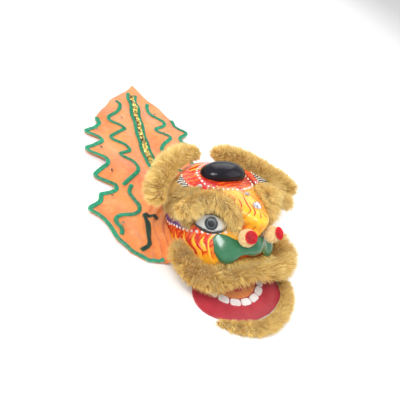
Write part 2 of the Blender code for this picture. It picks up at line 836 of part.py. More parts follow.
def collar_rim(side):
    """Return places in plan round the shell where the cape is sewn to it, from the nape to the front."""
    steps = 60
    places = []
    for step in range(steps + 1):
        angle = mix(math.pi, COLLAR_FRONT_ANGLE, step / steps)
        point = add_bulges(shell_point(angle, COLLAR_HEIGHT / HEAD_HEIGHT))
        outward = Vector((math.sin(angle), -math.cos(angle), 0.0))
        place = point + outward * COLLAR_GAP
        places.append(Vector((side * place.x, place.y, 0.0)))
    return places


def cloth_height(place):
    """Return the height of the cloth's underside: low waves, gathers, and the collar's rise to the shell."""
    side = -1 if place.x < 0.0 else 1
    away = min((place - rim).length for rim in collar_rim(side))
    across = place.x / CAPE_HALF_WIDTH
    along = place.y / CAPE_LENGTH
    wave = math.sin(7.0 * along + 2.5 * across) * math.sin(9.0 * across + 1.0) + 0.35 * math.sin(19.0 * along)
    height = CLOTH_WAVE * max(0.0, 0.5 + 0.5 * wave) ** 2
    angle = math.atan2(place.x, HEAD_SECTIONS[0].widest * NAPE_REACH - place.y)
    gather = 0.5 + 0.5 * math.cos(2.0 * COLLAR_GATHERS * angle)
    height += CLOTH_WAVE * gather * min(away / COLLAR_REACH, 1.0) * math.exp(-away / COLLAR_REACH)
    height += COLLAR_HEIGHT * max(0.0, 1.0 - away / COLLAR_REACH) ** 2
    corner = cape_place(CORNER_ALONG, -1.0)
    beyond = max(0.0, (corner.x - place.x + CORNER_REACH * 0.3) / (CORNER_REACH * 1.3))
    return height + CORNER_RISE * smooth_step(beyond)


def edge_across(along, side):
    """Return the share of the half width that the cape's edge reaches, with its turned-up corner."""
    straight = CAPE_EDGE[2].along
    share = read_row(CAPE_EDGE, along, ease=along < straight)[1]
    if side < 0:
        near = (along - CORNER_ALONG) / CORNER_SPREAD
        share += CORNER_REACH / CAPE_HALF_WIDTH * math.exp(-near * near)
    return share


def edge_rows():
    """Return the cape's rows as shares of its length at its edge, from the tip to the front."""
    first = CAPE_EDGE[0].along
    last = CAPE_EDGE[-1].along
    count = round((first - last) * CAPE_LENGTH / CAPE_ROW_STEP)
    return [mix(first, last, step / count) for step in range(count + 1)]


def resample(path, step):
    """Return points at even steps along a path, both ends included."""
    lengths = [0.0]
    for a, b in zip(path, path[1:]):
        lengths.append(lengths[-1] + (b - a).length)
    count = max(1, round(lengths[-1] / step))
    found = []
    stretch = 0
    for i in range(count + 1):
        target = lengths[-1] * i / count
        while stretch < len(path) - 2 and lengths[stretch + 1] < target:
            stretch += 1
        share = (target - lengths[stretch]) / (lengths[stretch + 1] - lengths[stretch])
        found.append(path[stretch].lerp(path[stretch + 1], min(max(share, 0.0), 1.0)))
    return found


def inner_line(side, count):
    """Return the inner ends of the cape's fanned rows: up the spine to the nape, then round the shell."""
    rim = collar_rim(side)
    start = cape_place(FAN_START, 0.0)
    line = [start.lerp(rim[0], step / 8) for step in range(8)] + rim
    length = sum((b - a).length for a, b in zip(line, line[1:]))
    return resample(line, length / count)


def make_cape(material, parent, collection):
    """Model the cape as an open sheet, open round the shell's rim, that Solidify makes cloth."""
    rows = edge_rows()
    fanned = [along for along in rows if along < FAN_START]
    shape = bmesh.new()
    for side in (-1, 1):
        inner = inner_line(side, len(fanned))
        grid = []
        for along in rows:
            start = cape_place(along, 0.0)
            if along in fanned:
                start = inner[len(inner) - len(rows) + rows.index(along)]
            end = cape_place(along, side * max(edge_across(along, side), CAPE_TIP_SHARE))
            line = []
            for column in range(CAPE_COLUMNS + 1):
                place = start.lerp(end, (column / CAPE_COLUMNS) ** 1.3)
                line.append(shape.verts.new((place.x, place.y, cloth_height(place))))
            grid.append(line)
        fill_grid(shape, grid)
    bmesh.ops.remove_doubles(shape, verts=shape.verts, dist=0.0001)
    bmesh.ops.recalc_face_normals(shape, faces=shape.faces)
    cape = new_object("cape", shape, material, parent, collection)
    cloth = cape.modifiers.new("cloth", "SOLIDIFY")
    cloth.thickness = CLOTH_THICKNESS
    cloth.offset = 1.0
    return cape


def top_height(surface, place):
    """Return how high a surface is at a place, or at its nearest point where the place is past its edge."""
    hit = surface.ray_cast(Vector((place.x, place.y, HEAD_HEIGHT)), Vector((0.0, 0.0, -1.0)))[0]
    if hit is None:
        hit = surface.find_nearest(Vector((place.x, place.y, COLLAR_REACH)))[0]
    return hit.z


def shift_path(path, aside):
    """Return a path in plan moved sideways, to the right of its own direction where aside is positive."""
    last = len(path) - 1
    moved = []
    for i, place in enumerate(path):
        along = (path[min(i + 1, last)] - path[max(i - 1, 0)]).normalized()
        moved.append(place + Vector((along.y, -along.x, 0.0)) * aside)
    return moved


def line_heights(surface, line):
    """Return heights for the points of a line over a surface, raised where its stretches would cut in."""
    heights = [top_height(surface, place) for place in line]
    for i, (a, b) in enumerate(zip(line, line[1:])):
        excess = 0.0
        for share in (0.2, 0.4, 0.6, 0.8):
            between = top_height(surface, a.lerp(b, share))
            excess = max(excess, between - mix(heights[i], heights[i + 1], share))
        heights[i] += excess
        heights[i + 1] += excess
    return heights


def ribbon(name, path, width, cloth, material, parent, collection):
    """Model a flat ribbon that lies on the cape along a path."""
    lines = [shift_path(path, -width / 2), shift_path(path, width / 2)]
    heights = [line_heights(cloth, line) for line in (*lines, path)]
    shape = bmesh.new()
    rings = []
    for a, b, low_a, low_b, low in zip(*lines, *heights):
        excess = max(0.0, low - (low_a + low_b) / 2)
        ring = []
        for end, low, lift in ((a, low_a, 0.0), (b, low_b, 0.0), (b, low_b, 1.0), (a, low_a, 1.0)):
            low += excess
            ring.append(shape.verts.new((end.x, end.y, low + SEAT_GAP + lift * BRAID_THICKNESS)))
        rings.append(ring)
    close_loft(shape, rings)
    return new_object(name, shape, material, parent, collection)


def braid_path(table, side):
    """Return a smooth path in plan through a table's places on the cape."""
    places = [cape_place(row.along, side * row.across) for row in table]
    return resample(curve_through(places, 4), BRAID_STEP)


def edge_path(side):
    """Return the edge braid's path in plan, just inside the cape's edge."""
    steps = 160
    edge = []
    for step in range(steps + 1):
        along = mix(EDGE_START, EDGE_END, step / steps)
        edge.append(cape_place(along, side * edge_across(along, side)))
    inset = shift_path(resample(edge, BRAID_STEP), side * EDGE_INSET * BRAID_WIDTH)
    return resample(inset, BRAID_STEP)


def main():
    """Build the lion head."""
    clear_scene()
    lion = new_collection("lion_dance_head")
    cutters = new_collection("cutters")
    paint = new_material("shell_paint", (0.68, 0.08, 0.03), 0.22, 0.6)
    black = new_material("black_gloss", (0.012, 0.011, 0.011), 0.15, 0.8)
    board_black = new_material("ear_black", (0.02, 0.02, 0.02), 0.5)
    fur = new_material("golden_fur", (0.55, 0.36, 0.16), 0.9)
    eye_white = new_material("eye_gloss", (0.75, 0.74, 0.70), 0.12, 0.9)
    stone = new_material("clear_stone", (0.80, 0.84, 0.86), 0.05, 1.0)
    green = new_material("nose_green", (0.015, 0.30, 0.10), 0.25, 0.6)
    cream = new_material("pompom_cream", (0.80, 0.68, 0.45), 0.95)
    tip_red = new_material("pompom_red", (0.75, 0.03, 0.03), 0.9)
    crimson = new_material("jaw_crimson", (0.45, 0.05, 0.06), 0.45, 0.2)
    lining = new_material("palate_orange", (0.80, 0.25, 0.06), 0.6)
    tongue_red = new_material("tongue_red", (0.42, 0.03, 0.03), 0.6)
    tooth_white = new_material("tooth_white", (0.72, 0.70, 0.68), 0.4)
    steel = new_material("rod_steel", (0.55, 0.55, 0.56), 0.35)
    orange = new_material("cape_orange", (0.86, 0.26, 0.03), 0.6)
    braid = new_material("braid_green", (0.03, 0.14, 0.05), 0.8)
    gold = new_material("sequin_gold", (0.72, 0.50, 0.16), 0.3)

    up = Vector((0.0, 0.0, 1.0))
    left = Vector((1.0, 0.0, 0.0))
    middle = new_empty("head_middle", (0.0, -NAPE_REACH + SHELL_WALL / 2, 0.0), None, lion)
    shell = surface_of(make_shell(paint, middle, lion))
    nose = surface_of(make_nose(shell, green, middle, lion))
    crown = Vector((0.0, HORN_MIDDLE * NAPE_REACH, HEAD_HEIGHT))
    cap_on_surface("horn", shell, crown, up, left, oval(HORN_LENGTH / 2, HORN_DEPTH / 2, 2.2),
                   dome(HORN_RISE, HORN_RISE * 0.12, 6), 24, black, middle, lion)

    for name, place in (("nose_stone", NOSE_STONE_PLACE), ("forehead_stone", FOREHEAD_STONE_PLACE)):
        radius = NOSE_STONE_RADIUS if name == "nose_stone" else SMALL_STONE_RADIUS
        spot = Vector((0.0, place * MUZZLE_REACH, HEAD_HEIGHT))
        cap_on_surface(name, shell, spot, up, left, oval(radius, radius),
                       cut_stone(radius), 12, stone, middle, lion)

    for side, word in ((-1, "right"), (1, "left")):
        place = seat_ball(head_place(POMPOM_PLACE, side), POMPOM_RADIUS, (nose, shell))
        ball = surface_of(make_ball("pompom_" + word, place, POMPOM_RADIUS, cream, middle, lion))
        facing = Vector((-side * POMPOM_TIP_FACING.x, POMPOM_TIP_FACING.y, POMPOM_TIP_FACING.z))
        cap_on_surface("pompom_tip_" + word, ball, place + facing.normalized() * SEAT_GAP, facing, left,
                       oval(POMPOM_TIP_RADIUS, POMPOM_TIP_RADIUS),
                       dome(POMPOM_TIP_RISE, POMPOM_TIP_RISE * 0.6, 3),
                       16, tip_red, middle, lion)

        outward = Vector((side * EYE_FACING.x, EYE_FACING.y, EYE_FACING.z))
        across = Vector((-side * EYE_ACROSS.x, EYE_ACROSS.y, EYE_ACROSS.z))
        eye = cap_on_surface("eye_" + word, shell, head_place(EYE_PLACE, side), outward, across,
                             oval(EYE_LENGTH / 2, EYE_HEIGHT / 2, 1.7), dome(EYE_RISE, EYE_RISE * 0.35),
                             20, eye_white, middle, lion)
        board = surface_of(make_ear_board(side, "ear_board_" + word, shell, board_black, middle, lion))
        spot = head_place(BROW_STONE_PLACE, side)
        small = oval(SMALL_STONE_RADIUS, SMALL_STONE_RADIUS)
        brow_stone = cap_on_surface("brow_stone_" + word, board, spot, up, left, small,
                                    cut_stone(SMALL_STONE_RADIUS), 12, stone, middle, lion)
        supports = [shell, ball, surface_of(eye), board, surface_of(brow_stone)]
        comb = Vector((side * 0.5, 0.3, -0.6)).normalized()
        path, radii = read_path(EAR_FUR_PATH, EAR_SPAN, EAR_SPAN, HEAD_HEIGHT, EAR_FUR_RADIUS, side, 3)
        ear_fur = fur_roll("ear_fur_" + word, path, radii, comb, 1.0, supports, fur, middle, lion)
        supports.append(surface_of(ear_fur))
        comb = Vector((side * 0.3, -0.7, -0.4)).normalized()
        path, radii = read_path(BROW_FUR_PATH, EAR_SPAN, EAR_SPAN, HEAD_HEIGHT, BROW_FUR_RADIUS, side, 3)
        fur_roll("brow_fur_" + word, path, radii, comb, 0.85, supports, fur, middle, lion)

    lips = LIP_FUR_PATH + tuple(row._replace(x=-row.x) for row in reversed(LIP_FUR_PATH[:-1]))
    path, radii = read_path(lips, HEAD_WIDTH / 2, HEAD_WIDTH / 2, LIP_HEIGHT, LIP_FUR_RADIUS, 1, 3)
    comb = Vector((0.0, -0.35, -0.9)).normalized()
    fur_roll("lip_fur", path, radii, comb, 1.15, [shell, nose], fur, middle, lion)

    jaw = new_empty("jaw_axis", hinge_axis(), middle, lion)
    board = surface_of(make_jaw_board(crimson, jaw, lion, cutters))
    make_rod(shell, steel, middle, lion)
    top = CLEARANCE * 2 + JAW_BOARD_THICKNESS
    make_palate(top, lining, jaw, lion)
    for number in range(TOOTH_COUNT):
        make_tooth(number, top, tooth_white, jaw, lion)
    spot = Vector((0.0, TONGUE_MIDDLE * JAW_REACH, top + PALATE_THICKNESS))
    cap_on_surface("tongue", None, spot, up, left, oval(TONGUE_WIDTH / 2, TONGUE_LENGTH / 2, 2.4),
                   dome(TONGUE_RISE, TONGUE_RISE * 0.4, 4), 20, tongue_red, jaw, lion)
    depth = BEARD_FUR_RADIUS
    path, radii = read_path(BEARD_FUR_PATH, JAW_WIDTH / 2, JAW_REACH, depth, depth, 1, 4)
    comb = Vector((0.0, -0.9, -0.3)).normalized()
    fur_roll("beard_fur", path, radii, comb, 0.8, [board], fur, jaw, lion)

    cloth = surface_of(make_cape(orange, middle, lion))
    for side, word in ((-1, "right"), (1, "left")):
        ribbon("braid_edge_" + word, edge_path(side), BRAID_WIDTH, cloth, braid, middle, lion)
        ribbon("braid_inner_" + word, braid_path(BRAID_INNER, side), BRAID_WIDTH, cloth, braid, middle, lion)
        ribbon("braid_side_" + word, braid_path(BRAID_SIDE, side), BRAID_WIDTH, cloth, braid, middle, lion)
        ribbon("braid_seam_" + word, braid_path(BRAID_SEAM, side), BRAID_WIDTH, cloth, braid, middle, lion)
    spine = [cape_place(mix(SPINE_START, SPINE_END, step / 40), 0.0) for step in range(41)]
    spine = resample(spine, BRAID_STEP)
    ribbon("spine_strip", spine, SPINE_STRIP_WIDTH, cloth, gold, middle, lion)
    aside = SPINE_STRIP_WIDTH / 2 + BRAID_WIDTH / 2 + SEAT_GAP
    ribbon("spine_braid_right", shift_path(spine, -aside), BRAID_WIDTH, cloth, braid, middle, lion)
    ribbon("spine_braid_left", shift_path(spine, aside), BRAID_WIDTH, cloth, braid, middle, lion)


if __name__ == "__main__":
    main()
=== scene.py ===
"""Looks of a child's lion dance head on a pale surface, with its jaw open and its cape spread out.

Every piece is in metres in the frame of the CAD model: the lion faces -Y, +Z is up, the surface is at z = 0.
Places on the head are given from its middle, on the line between the jaw's hinge and the nape.
"""
import logging
import math
from collections.abc import Callable, Iterator
from contextlib import contextmanager
from dataclasses import dataclass, field
from enum import Enum
from typing import ClassVar

import bmesh
import bpy
import numpy as np
from mathutils import Matrix, Vector, noise
from mathutils.bvhtree import BVHTree


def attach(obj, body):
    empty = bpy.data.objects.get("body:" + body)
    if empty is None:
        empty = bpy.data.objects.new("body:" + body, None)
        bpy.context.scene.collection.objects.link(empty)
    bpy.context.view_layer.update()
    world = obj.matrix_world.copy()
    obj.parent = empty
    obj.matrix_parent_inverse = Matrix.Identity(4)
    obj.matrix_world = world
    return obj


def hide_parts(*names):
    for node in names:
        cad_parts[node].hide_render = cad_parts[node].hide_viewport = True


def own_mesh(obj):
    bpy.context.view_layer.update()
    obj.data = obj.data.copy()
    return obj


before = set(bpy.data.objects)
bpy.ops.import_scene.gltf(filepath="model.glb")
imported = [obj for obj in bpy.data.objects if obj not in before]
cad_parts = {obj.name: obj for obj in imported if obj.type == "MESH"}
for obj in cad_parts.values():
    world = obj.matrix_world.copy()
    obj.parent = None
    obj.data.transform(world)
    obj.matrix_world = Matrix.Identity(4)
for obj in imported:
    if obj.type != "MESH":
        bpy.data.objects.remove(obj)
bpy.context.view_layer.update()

HEAD_MIDDLE_Y = -0.2055
MOUTH_FRONT_Y = HEAD_MIDDLE_Y - 0.085
MOUTH_HALF_WIDTH = 0.09
UP = Vector((0.0, 0.0, 1.0))
Colour = tuple[float, float, float]
Chance = np.random.RandomState
MERGE = 0.00002
QUAD_ANGLE = math.radians(60)
SMOOTH_ANGLE = math.radians(45)
SOFT_ANGLE = math.radians(60)
UPWARD = 0.95
log = logging.getLogger("lion_head")


class Side(Enum):
    """A side of the lion, as the sign of its X."""

    RIGHT = -1
    LEFT = 1

    @property
    def word(self) -> str:
        """The side's word in a piece's name."""
        return self.name.lower()


class Body(Enum):
    """A moving group of the CAD model."""

    HEAD = "head"
    JAW = "jaw"


def on_head(x: float, y: float, z: float) -> Vector:
    """Return the place in the frame of a point given from the head's middle."""
    return Vector((x, y + HEAD_MIDDLE_Y, z))


def within(value: float) -> float:
    """Keep a share between none and all."""
    return min(max(value, 0.0), 1.0)


def select_only(item: bpy.types.Object) -> None:
    """Make an object the only selected one, and the active one."""
    for other in bpy.context.selected_objects:
        other.select_set(False)
    item.select_set(True)
    bpy.context.view_layer.objects.active = item


def apply_modifier(item: bpy.types.Object, kind: str, **settings: object) -> None:
    """Add a modifier with its settings and apply it."""
    select_only(item)
    modifier = item.modifiers.new(kind.lower(), kind)
    for key, value in settings.items():
        setattr(modifier, key, value)
    bpy.ops.object.modifier_apply(modifier=modifier.name)


@contextmanager
def editing(item: bpy.types.Object, select: str = "SELECT") -> Iterator[None]:
    """Open an object's mesh for editing.

    Args:
        item: the object.
        select: what is done to the selection first.
    """
    select_only(item)
    bpy.ops.object.mode_set(mode="EDIT")
    bpy.ops.mesh.select_all(action=select)
    yield
    bpy.ops.object.mode_set(mode="OBJECT")


def copy_of_node(node: str, name: str) -> bpy.types.Object:
    """Copy a CAD node's mesh into a new object with merged vertices and faces of four sides.

    Args:
        node: the CAD node's name.
        name: the new object's name.

    Returns:
        The new object, at the origin.
    """
    item = bpy.data.objects.new(name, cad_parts[node].data.copy())
    bpy.context.scene.collection.objects.link(item)
    item.data.name = name
    with editing(item):
        bpy.ops.mesh.remove_doubles(threshold=MERGE)
        bpy.ops.mesh.tris_convert_to_quads(face_threshold=QUAD_ANGLE, shape_threshold=QUAD_ANGLE)
        bpy.ops.mesh.customdata_custom_splitnormals_clear()
    return item


def rounded_copy(node: str, name: str) -> bpy.types.Object:
    """Copy a CAD node's mesh and round its facets off."""
    item = copy_of_node(node, name)
    apply_modifier(item, "SUBSURF", levels=2, render_levels=2)
    smooth(item)
    return item


def mesh_piece(name: str, points: list, faces: list) -> bpy.types.Object:
    """Make an object from points and faces that a loop has worked out."""
    mesh = bpy.data.meshes.new(name)
    mesh.from_pydata([tuple(point) for point in points], [], faces)
    mesh.validate()
    item = bpy.data.objects.new(name, mesh)
    bpy.context.scene.collection.objects.link(item)
    return item


def face_outwards(item: bpy.types.Object) -> None:
    """Point all the faces of a closed mesh outwards."""
    with editing(item):
        bpy.ops.mesh.normals_make_consistent(inside=False)


def smooth(item: bpy.types.Object, angle: float = SMOOTH_ANGLE) -> None:
    """Shade an object smooth, apart from its sharp edges."""
    select_only(item)
    bpy.ops.object.shade_smooth_by_angle(angle=angle)


def surface_of(item: bpy.types.Object) -> BVHTree:
    """Return a search tree of an object's mesh."""
    shape = bmesh.new()
    shape.from_mesh(item.data)
    tree = BVHTree.FromBMesh(shape)
    shape.free()
    return tree


def paint(item: bpy.types.Object, *materials: bpy.types.Material) -> None:
    """Give an object its materials in order."""
    item.data.materials.clear()
    for material in materials:
        item.data.materials.append(material)


def finish(item: bpy.types.Object, materials: tuple, body: Body, slot: str, *nodes: str) -> None:
    """Paint a finished piece, let it ride on its body, and let it stand for its CAD nodes.

    Args:
        item: the piece.
        materials: its materials in order.
        body: the body that it rides on.
        slot: the name of its slot; not used.
        nodes: the CAD nodes that it stands for.
    """
    paint(item, *materials)
    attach(item, body.value)
    if nodes:
        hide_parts(*nodes)


def curve_through(points: list, steps: int) -> list:
    """Return points along a smooth curve through the given ones, with so many steps a stretch."""
    ends = [points[0] * 2 - points[1], *points, points[-1] * 2 - points[-2]]
    found = []
    for a, b, c, d in zip(ends, ends[1:], ends[2:], ends[3:]):
        for step in range(steps):
            t = step / steps
            pull = (a * 2 - b * 5 + c * 4 - d) * t**2 + (b * 3 - a - c * 3 + d) * t**3
            found.append((b * 2 + (c - a) * t + pull) * 0.5)
    found.append(points[-1].copy())
    return found


def resample(path: list, step: float) -> list:
    """Return points at even steps along a path, both ends included."""
    lengths = np.concatenate([[0.0], np.cumsum([(b - a).length for a, b in zip(path, path[1:])])])
    count = max(2, round(lengths[-1] / step))
    targets = np.linspace(0.0, lengths[-1], count + 1)
    columns = [np.interp(targets, lengths, [point[axis] for point in path]) for axis in range(3)]
    return [Vector(point) for point in zip(*columns)]


# Materials


class Tree:
    """A node tree, with short ways to add and join its nodes."""

    def __init__(self, tree: bpy.types.NodeTree) -> None:
        """Take a node tree."""
        self.tree = tree

    def join(self, source: object, target: object) -> None:
        """Join a source socket to a target, or set the target to a plain value."""
        if isinstance(source, bpy.types.NodeSocket):
            self.tree.links.new(source, target)
        elif target.type == "RGBA" and len(source) == 3:
            target.default_value = (*source, 1.0)
        else:
            target.default_value = source

    def place(self, kind: str, inputs: dict, **settings: object) -> bpy.types.Node:
        """Add a node.

        Args:
            kind: the node's type.
            inputs: a source or value for each named or numbered input.
            settings: the node's own settings.

        Returns:
            The node.
        """
        node = self.tree.nodes.new(kind)
        for key, value in settings.items():
            setattr(node, key, value)
        for key, value in inputs.items():
            self.join(value, node.inputs[key])
        return node

    def add(self, kind: str, inputs: dict, output: int | str = 0, **settings: object) -> bpy.types.NodeSocket:
        """Add a node and return one of its outputs."""
        return self.place(kind, inputs, **settings).outputs[output]

    def mix(self, share: object, low: object, high: object) -> bpy.types.NodeSocket:
        """Mix two colours."""
        return self.add("ShaderNodeMix", {0: share, 6: low, 7: high}, 2, data_type="RGBA")

    def math(self, operation: str, a: object, b: object = 0.0) -> bpy.types.NodeSocket:
        """Work out a number from one or two others."""
        return self.add("ShaderNodeMath", {0: a, 1: b}, operation=operation)

    def distance(self, place: object, centre: tuple[float, float, float]) -> bpy.types.NodeSocket:
        """Return how far a place is from a centre."""
        return self.add("ShaderNodeVectorMath", {0: place, 1: centre}, "Value", operation="DISTANCE")

    def attribute(self, name: str, output: str = "Fac") -> bpy.types.NodeSocket:
        """Read an attribute of the mesh."""
        return self.add("ShaderNodeAttribute", {}, output, attribute_name=name)

    def ramp(self, value: object, low: float, high: float, start: float = 0.0, end: float = 1.0) -> object:
        """Map a number smoothly from one range to another."""
        inputs = {"Value": value, "From Min": low, "From Max": high, "To Min": start, "To Max": end}
        return self.add("ShaderNodeMapRange", inputs, interpolation_type="SMOOTHSTEP")


class Group(Tree):
    """A node group that works out numbers from a place and a scale."""

    def __init__(self, name: str, *outputs: str) -> None:
        """Start a group with its named outputs."""
        super().__init__(bpy.data.node_groups.new(name, "ShaderNodeTree"))
        for key, kind in (("Vector", "NodeSocketVector"), ("Scale", "NodeSocketFloat")):
            self.tree.interface.new_socket(name=key, in_out="INPUT", socket_type=kind)
        for key in outputs:
            self.tree.interface.new_socket(name=key, in_out="OUTPUT", socket_type="NodeSocketFloat")
        source = self.tree.nodes.new("NodeGroupInput")
        self.vector = source.outputs["Vector"]
        self.scale = source.outputs["Scale"]
        self.result = self.tree.nodes.new("NodeGroupOutput")


class Surface(Tree):
    """A material with a Principled BSDF."""

    def __init__(self, name: str) -> None:
        """Start the material."""
        self.material = bpy.data.materials.new(name)
        self.material.use_nodes = True
        super().__init__(self.material.node_tree)
        self.shader = self.tree.nodes["Principled BSDF"]
        self.coords = self.tree.nodes.new("ShaderNodeTexCoord").outputs["Object"]

    def shade(self, colour: object, roughness: object, values: dict[str, float]) -> None:
        """Join the shader's colour and roughness, and set its plain values."""
        inputs = {"Base Color": colour, "Roughness": roughness, **values}
        for key, value in inputs.items():
            self.join(value, self.shader.inputs[key])

    def group(self, group: Group, scale: float, vector: bpy.types.NodeSocket | None = None) -> bpy.types.Node:
        """Place a node group at a scale, over the object's own coordinates or another vector."""
        node = self.place("ShaderNodeGroup", {}, node_tree=group.tree)
        self.join(vector or self.coords, node.inputs["Vector"])
        self.join(scale, node.inputs["Scale"])
        return node

    def bump(self, height: bpy.types.NodeSocket, distance: float, strength: float = 1.0) -> None:
        """Give the surface a fine relief."""
        normal = self.add("ShaderNodeBump", {"Height": height, "Distance": distance, "Strength": strength})
        self.join(normal, self.shader.inputs["Normal"])


def mottle_group() -> Group:
    """Make the group for uneven colour and a fine hand-made relief."""
    group = Group("mottle", "Tone", "Height")
    finer = group.math("MULTIPLY", group.scale, 7.0)
    for key, scale in (("Tone", group.scale), ("Height", finer)):
        inputs = {"Vector": group.vector, "Scale": scale, "Detail": 4.0}
        group.join(group.add("ShaderNodeTexNoise", inputs, "Fac"), group.result.inputs[key])
    return group


def weave_group() -> Group:
    """Make the group for a plain weave: two crossed sets of threads."""
    group = Group("weave", "Height")
    inputs = {"Vector": group.vector, "Scale": group.scale, "Distortion": 0.6}
    threads = [group.add("ShaderNodeTexWave", inputs, "Fac", bands_direction=way) for way in ("X", "Y")]
    group.join(group.math("MAXIMUM", *threads), group.result.inputs["Height"])
    return group


MOTTLE = mottle_group()
WEAVE = weave_group()


@dataclass(frozen=True)
class Finish:
    """A hand-made surface of one colour with its own unevenness.

    Attributes:
        name: the material's name.
        colour: the colour of most of it.
        shade: the colour of its darker or dirtier places.
        roughness: how dull it is.
        coat: how strong its clear lacquer is.
        scale: how fine its unevenness is, in waves to the metre.
        relief: how deep its fine relief is, in metres.
        woven: whether threads show.
        sheen: how strongly its nap catches the light.
        metal: how metallic it is.
        specular: how strong its bare shine is.
    """

    name: str
    colour: Colour
    shade: Colour
    roughness: float = 0.5
    coat: float = 0.0
    scale: float = 40.0
    relief: float = 0.0001
    woven: bool = False
    sheen: float = 0.0
    metal: float = 0.0
    specular: float = 0.5

    def make(self) -> bpy.types.Material:
        """Make the material."""
        tree = Surface(self.name)
        grain = tree.group(MOTTLE, self.scale)
        tone = tree.ramp(grain.outputs["Tone"], 0.35, 0.72)
        duller = min(self.roughness * 1.2, 1.0)
        rough = tree.ramp(grain.outputs["Height"], 0.3, 0.7, self.roughness * 0.85, duller)
        values = {"Coat Weight": self.coat, "Coat Roughness": 0.08, "Specular IOR Level": self.specular}
        values |= {"Sheen Weight": self.sheen, "Metallic": self.metal}
        tree.shade(tree.mix(tone, self.colour, self.shade), rough, values)
        height = grain.outputs["Height"]
        if self.woven:
            height = tree.math("ADD", height, tree.group(WEAVE, 260.0).outputs["Height"])
        tree.bump(height, self.relief)
        return tree.material


@dataclass(frozen=True)
class PaintPatch:
    """A round patch of colour on the painted shell, mirrored on both sides.

    Attributes:
        place: its centre from the head's middle.
        radius: how far it reaches.
        colour: its colour.
    """

    place: tuple[float, float, float]
    radius: float
    colour: Colour


@dataclass(frozen=True)
class ShellPaint:
    """The shell's lacquered ground: red with brushed-on fields of yellow, orange and purple.

    Attributes:
        name: the material's name.
        black_beyond: how far out from the middle the ground turns black, or None.
        coat: how strong its clear lacquer is.
        ground: the red ground.
        ember: the orange that is brushed into it.
        patches: the fields of other colours.
    """

    name: str = "shell_paint"
    black_beyond: float | None = None
    coat: float = 0.35
    ground: Colour = (0.60, 0.026, 0.009)
    ember: Colour = (0.80, 0.13, 0.012)
    patches: tuple = (
        PaintPatch((0.0, -0.030, 0.180), 0.062, (0.93, 0.50, 0.035)),
        PaintPatch((0.045, 0.005, 0.165), 0.050, (0.90, 0.38, 0.025)),
        PaintPatch((0.050, -0.050, 0.128), 0.034, (0.92, 0.42, 0.03)),
        PaintPatch((0.085, -0.075, 0.060), 0.040, (0.92, 0.44, 0.025)),
        PaintPatch((0.108, 0.030, 0.008), 0.036, (0.92, 0.42, 0.025)),
        PaintPatch((0.106, -0.034, 0.030), 0.042, (0.92, 0.44, 0.025)),
        PaintPatch((0.112, 0.040, 0.086), 0.030, (0.20, 0.03, 0.09)),
        PaintPatch((0.095, 0.110, 0.060), 0.050, (0.78, 0.16, 0.02)),
        PaintPatch((0.070, 0.060, 0.160), 0.030, (0.50, 0.02, 0.02)),
    )

    def make(self) -> bpy.types.Material:
        """Make the material."""
        tree = Surface(self.name)
        shift = {"Vector": tree.coords, "Location": (0.0, -HEAD_MIDDLE_Y, 0.0)}
        centred = tree.add("ShaderNodeMapping", shift)
        split = tree.place("ShaderNodeSeparateXYZ", {0: centred}).outputs
        folded = tree.math("ABSOLUTE", split["X"])
        place = tree.add("ShaderNodeCombineXYZ", {"X": folded, "Y": split["Y"], "Z": split["Z"]})
        grain = tree.group(MOTTLE, 34.0, place)
        wave = {"Vector": place, "Scale": 26.0, "Distortion": 7.0, "Detail": 2.0, "Detail Scale": 1.4}
        brushed = tree.add("ShaderNodeTexWave", wave, "Fac", bands_direction="Y")
        colour = tree.mix(tree.ramp(brushed, 0.35, 0.75), self.ground, self.ember)
        ragged = tree.ramp(grain.outputs["Tone"], 0.2, 0.8, -0.014, 0.014)
        for patch in self.patches:
            away = tree.math("ADD", tree.distance(place, patch.place), ragged)
            share = tree.ramp(away, patch.radius * 0.55, patch.radius, 0.95, 0.0)
            colour = tree.mix(share, colour, patch.colour)
        if self.black_beyond:
            edge = self.black_beyond
            colour = tree.mix(tree.ramp(folded, edge - 0.0006, edge + 0.0006), colour, (0.008, 0.008, 0.009))
        rough = tree.ramp(grain.outputs["Height"], 0.3, 0.7, 0.20, 0.34)
        values = {"Coat Weight": self.coat, "Coat Roughness": 0.12, "Specular IOR Level": 0.3}
        tree.shade(colour, rough, values)
        tree.bump(grain.outputs["Height"], 0.00018)
        return tree.material


@dataclass(frozen=True)
class FurFinish:
    """Long pile whose colour runs from its root to its tip and differs from lock to lock.

    Attributes:
        name: the material's name.
        root: the colour at a blade's root.
        middle: its colour halfway up.
        tip: its colour at the tip.
    """

    name: str
    root: Colour
    middle: Colour
    tip: Colour

    def make(self) -> bpy.types.Material:
        """Make the material."""
        tree = Surface(self.name)
        along = tree.attribute("Along")
        shade = tree.attribute("Shade")
        colour = tree.mix(tree.ramp(along, 0.05, 0.50), self.root, self.middle)
        colour = tree.mix(tree.ramp(along, 0.45, 1.0), colour, self.tip)
        colour = tree.mix(tree.ramp(shade, 0.0, 1.0, 0.50, 0.0), colour, self.root)
        tree.shade(colour, tree.ramp(shade, 0.0, 1.0, 0.75, 0.55), {"Sheen Weight": 0.25})
        return tree.material


